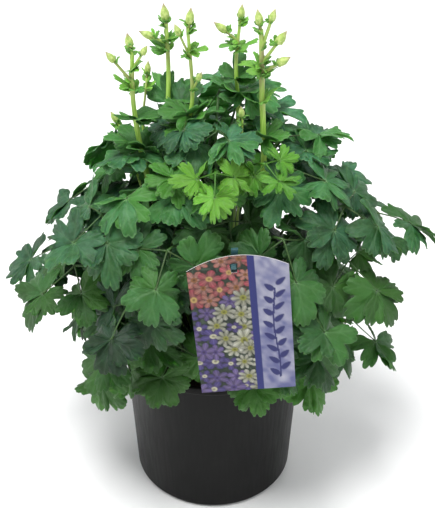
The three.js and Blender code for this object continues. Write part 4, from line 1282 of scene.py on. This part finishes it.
def print_flower(colours, x, y, at, radius, turn, squash, kind, draw):
    """Prints streaked petals with a dark edge round them, and an eye of two rings."""
    outer, inner, eye, petals = FLOWER_KINDS[kind]
    lean = draw.uniform(-0.5, 0.5)
    dx, dy = x - at[0], (y - at[1]) / squash
    dx, dy = dx * math.cos(lean) - dy * math.sin(lean), dx * math.sin(lean) + dy * math.cos(lean)
    far = np.hypot(dx, dy) / radius
    round_about = np.arctan2(dy, dx) + turn
    petal = np.abs(np.cos(round_about * petals / 2))
    edge = 0.5 + 0.5 * petal**0.7
    mask = np.clip((edge - far) * radius / 0.9, 0, 1)
    streak = 0.84 + 0.16 * np.cos(round_about * petals * 4)
    shade = (0.5 + 0.5 * petal**2) * streak * (0.7 + 0.4 * np.clip(far, 0, 1)) * draw.uniform(0.75, 1.15)
    petal_colour = (np.asarray(inner) * (1 - far[..., None]) + np.asarray(outer) * far[..., None]).clip(0, 1)
    colours *= 1 - 0.55 * np.clip((edge + 0.2 - far) * 3, 0, 1)[..., None]
    blend(colours, mask, (petal_colour * shade[..., None]).clip(0, 1))
    for reach, depth in ((0.30, 1.0), (0.15, 0.45)):
        blend(colours, np.clip((reach - far) * radius / 0.7, 0, 1), np.asarray(eye) * depth)


swatch = np.zeros((9, 9, 3))
swatch_x, swatch_y = np.meshgrid(range(9), range(9))
print_flower(swatch, swatch_x, swatch_y, (4, 4), 4.0, 0.0, 1.0, "rose", np.random.default_rng(1))
print("A rose's eye is", swatch[4, 4].round(2), "and its petals", swatch[4, 6].round(2))

# %% The whole print
STRIPE = (0.598, 0.668)
STRIPE_COLOUR, INK = (0.035, 0.042, 0.20), (0.038, 0.042, 0.17)
PANEL_COLOURS = np.array([0.16, 0.17, 0.36]), np.array([0.52, 0.52, 0.63])
PRINT_DEPTH = 0.60
SPRIG_PLACE = 0.835
SPRIG_FOOT, SPRIG_TOP = 10, 92


def print_colours(x, y):
    """Colours of the print at places on the card, in millimetres from the middle of its foot."""
    draw = np.random.default_rng(4242)
    half = np.interp(y, [0, LABEL_SIDE], [LABEL_FOOT_WIDTH / 2, LABEL_TOP_WIDTH / 2])
    share = (x + half) / (2 * half)
    colours = np.ones(x.shape + (3,)) * np.array([0.018, 0.026, 0.022])
    blend(colours, clouds(x, y, 5.0, draw) * 0.7, (0.045, 0.075, 0.04))
    blend(colours, (clouds(x, y, 2.5, draw) > 0.7) * 0.6, (0.09, 0.13, 0.09))
    spots = [(gx + draw.uniform(-3.5, 3.5) + (6 if row % 2 else 0), gy + draw.uniform(-3, 3))
             for row, gy in enumerate(np.arange(3, 124, 11.5)) for gx in np.arange(-42, 14, 13.5)]
    for k in draw.permutation(len(spots)):
        sx, sy = spots[k]
        if sy > 88 + 0.3 * sx:
            kind = "rose" if draw.uniform() < 0.55 else "coral"
        elif sx + 0.2 * sy < -2 + draw.uniform(-9, 9):
            kind = "violet" if draw.uniform() < 0.55 else "lilac"
        else:
            kind = "cream" if draw.uniform() < 0.7 else "lilac"
        print_flower(colours, x, y, (sx, sy), draw.uniform(7.5, 11.5), draw.uniform(0, 6.28),
                     draw.uniform(0.62, 1), kind, draw)
    panel = share > STRIPE[1]
    mist = clouds(x, y, 9.0, draw) * 0.6 + clouds(x + y * 0.4, y, 3.5, draw) * 0.4
    mist = np.clip(mist * 1.5 - 0.25 + 0.25 * (y / 120 - 0.5), 0, 1)
    blend(colours, panel * 1.0, PANEL_COLOURS[0] * (1 - mist[..., None]) + PANEL_COLOURS[1] * mist[..., None])
    sprig(colours, x, y, half)
    blend(colours, ((share > STRIPE[0]) & (share <= STRIPE[1])) * 1.0, STRIPE_COLOUR)
    return colours * PRINT_DEPTH


def sprig(colours, x, y, half):
    """A plain sprig of paired leaves that climbs the panel."""
    middle = half * (2 * SPRIG_PLACE - 1) + 1.6 * np.sin(y / 13)
    blend(colours, (np.abs(x - middle) < 0.75) & (y > SPRIG_FOOT) & (y < SPRIG_TOP), INK)
    for height in np.arange(SPRIG_FOOT + 3, SPRIG_TOP, 11.0):
        for hand in (-1, 1):
            up = height + (5 if hand > 0 else 0)
            dx, dy = (x - middle) * hand - 4.8, y - up - 2.6
            a, b = dx * 0.8 + dy * 0.6, -dx * 0.6 + dy * 0.8
            leaf = (a / 5.4) ** 2 + (b / (2.2 * (1.15 - 0.08 * a))) ** 2
            blend(colours, np.clip((1 - leaf) * 3, 0, 1), INK)


print("The stripe's colour:", print_colours(np.array([[11.0]]), np.array([[50.0]])).round(3).tolist())

# %% The card's grid
SLOT_WIDTH, SLOT_HEIGHT, SLOT_DROP, SLOT_OFFSET, SLOT_TAPER = 7.0, 8.0, 11.0, -3.0, 1.0
GRID_STEP = 0.65
HAIR = 1e-6


def stepped(edges):
    """Even steps between the edges in turn, with a step on every edge."""
    runs = [np.linspace(a, b, int((b - a) / GRID_STEP) + 1)[:-1] for a, b in zip(edges, edges[1:])]
    return np.append(np.concatenate(runs), edges[-1])


def card_grid():
    """Places on the card, in millimetres from the middle of its foot, and which of them are in the slot."""
    top = LABEL_SIDE + LABEL_CROWN
    slot_x = (SLOT_OFFSET - SLOT_WIDTH / 2, SLOT_OFFSET + SLOT_WIDTH / 2)
    slot_y = (top - SLOT_DROP - SLOT_HEIGHT / 2, top - SLOT_DROP + SLOT_HEIGHT / 2)
    half = LABEL_TOP_WIDTH / 2
    s, y = np.meshgrid(stepped([-half, *slot_x, half]) / half, stepped([0, *slot_y, top]))
    y_arched = y - LABEL_CROWN * s**2 * (y / top) ** 3
    x = s * np.interp(y_arched, [0, LABEL_SIDE], [LABEL_FOOT_WIDTH / 2, half])
    off = np.abs(x - SLOT_OFFSET)
    near = np.clip((9 - off) / (9 - SLOT_WIDTH / 2), 0, 1) * np.clip(off / (SLOT_WIDTH / 2), 0, 1)
    down = np.clip((slot_y[1] - y) / SLOT_HEIGHT, 0, 1) * np.clip(1 - (slot_y[0] - y) / 5, 0, 1)
    x = x - np.sign(x - SLOT_OFFSET) * SLOT_TAPER * near * down
    in_slot = ((s * half >= slot_x[0] - HAIR) & (s * half <= slot_x[1] + HAIR)
               & (y >= slot_y[0] - HAIR) & (y <= slot_y[1] + HAIR))
    return x, y_arched, in_slot


x, y, in_slot = card_grid()
print("The card's grid has", x.shape[0], "rows and", x.shape[1], "columns")

# %% The label
PRINT_INSET = 0.03


def label_material():
    """Card with its print in the tint, slightly mottled."""
    material, tree, shader = new_material("printed card", Roughness=0.44, Specular_IOR_Level=0.3)
    ink = node(tree, "ShaderNodeVertexColor", layer_name="tint").outputs["Color"]
    grain = fade(tree, noise(tree, 2200.0, 1.0), 0.2, 0.8, 0.93, 1.04)
    tree.links.new(brightened(tree, ink, grain), shader.inputs["Base Color"])
    bump(tree, shader, noise(tree, 60.0, 1.0), 0.25, 0.0008)
    return material


rows, columns = x.shape
foot = LABEL_TOP + card_down * (LABEL_SIDE + LABEL_CROWN)
front = foot + x[..., None] * card_right - y[..., None] * card_down + card_face * LABEL_THICKNESS / 2
n = rows * columns
quads = grid_faces(rows, columns)[:, ::-1]
kept = quads[~in_slot.reshape(-1)[quads].all(axis=1)]
directed = {(a, b) for q in kept.tolist() for a, b in zip(q, q[1:] + q[:1])}
rim = [(a, b) for a, b in directed if (b, a) not in directed]
walls = [(b, a, a + 2 * n, b + 2 * n) for a, b in rim]
back_walls = [(b + 2 * n, a + 2 * n, a + n, b + n) for a, b in rim]
back = front - card_face * LABEL_THICKNESS
shown = front - card_face * PRINT_INSET
tints = np.ones((3, n, 4)) * 0.86
tints[0, :, :3] = print_colours(x, y).reshape(-1, 3)
card = Shape()
card_points = np.concatenate([grid.reshape(-1, 3) for grid in (front, back, shown)])
card_faces = [*kept.tolist(), *(kept[:, ::-1] + n).tolist(), *walls, *back_walls]
card.add(card_points, (0, 0), tints.reshape(-1, 4), card_faces, 0)
label = card.piece("dressed_label", [label_material()], ["label"], "label_card")
edit_mesh(label.data, lambda mesh: bmesh.ops.delete(
    mesh, geom=[vert for vert in mesh.verts if not vert.link_faces], context="VERTS"))
label.data.set_sharp_from_angle(angle=math.radians(30))
print("Label points:", len(label.data.vertices))

# %% [markdown]
# ## The stake
# The stake is a moulded strip of teal plastic. Its solid has the right form already, so the piece is a copy
# of it with every edge softened by a bevel, which is what makes moulded plastic read as plastic.

# %% The stake
SOFTENING = 0.35 * MM


def stake_material():
    """Teal plastic, faintly streaked and unevenly glossy."""
    material, tree, shader = new_material("teal stake plastic", Specular_IOR_Level=0.5)
    streaks = noise(tree, 90.0, 3.0)
    colour = mix(tree, fade(tree, streaks, 0.3, 0.7), (0.016, 0.060, 0.070), (0.030, 0.100, 0.112))
    tree.links.new(colour, shader.inputs["Base Color"])
    tree.links.new(fade(tree, noise(tree, 700.0, 2.0), 0.3, 0.7, 0.26, 0.42), shader.inputs["Roughness"])
    return material


solid = welded("label_stake")
bmesh.ops.dissolve_limit(solid, angle_limit=math.radians(2), verts=solid.verts, edges=solid.edges)
bmesh.ops.bevel(solid, geom=list(solid.edges), offset=SOFTENING, segments=3, profile=0.5, affect="EDGES",
                clamp_overlap=True)
stake_mesh = bpy.data.meshes.new("dressed_label_stake")
solid.to_mesh(stake_mesh)
solid.free()
stake_mesh.polygons.foreach_set("use_smooth", [True] * len(stake_mesh.polygons))
stake_mesh.set_sharp_from_angle(angle=math.radians(35))
stake_mesh.materials.clear()
stake_mesh.materials.append(stake_material())
register("dressed_label_stake", stake_mesh, ["label_stake"])
print("Stake faces:", len(stake_mesh.polygons))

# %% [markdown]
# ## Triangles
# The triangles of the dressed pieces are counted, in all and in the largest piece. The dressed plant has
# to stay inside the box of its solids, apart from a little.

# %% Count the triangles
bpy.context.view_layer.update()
pieces = [o for o in bpy.data.objects if o.name.startswith(("dressed_", "inner_leaves_"))]
counts = {o.name: sum(len(p.vertices) - 2 for p in o.data.polygons) for o in pieces}
print("Triangles:", sum(counts.values()), "most in one piece:", max(counts.values()))
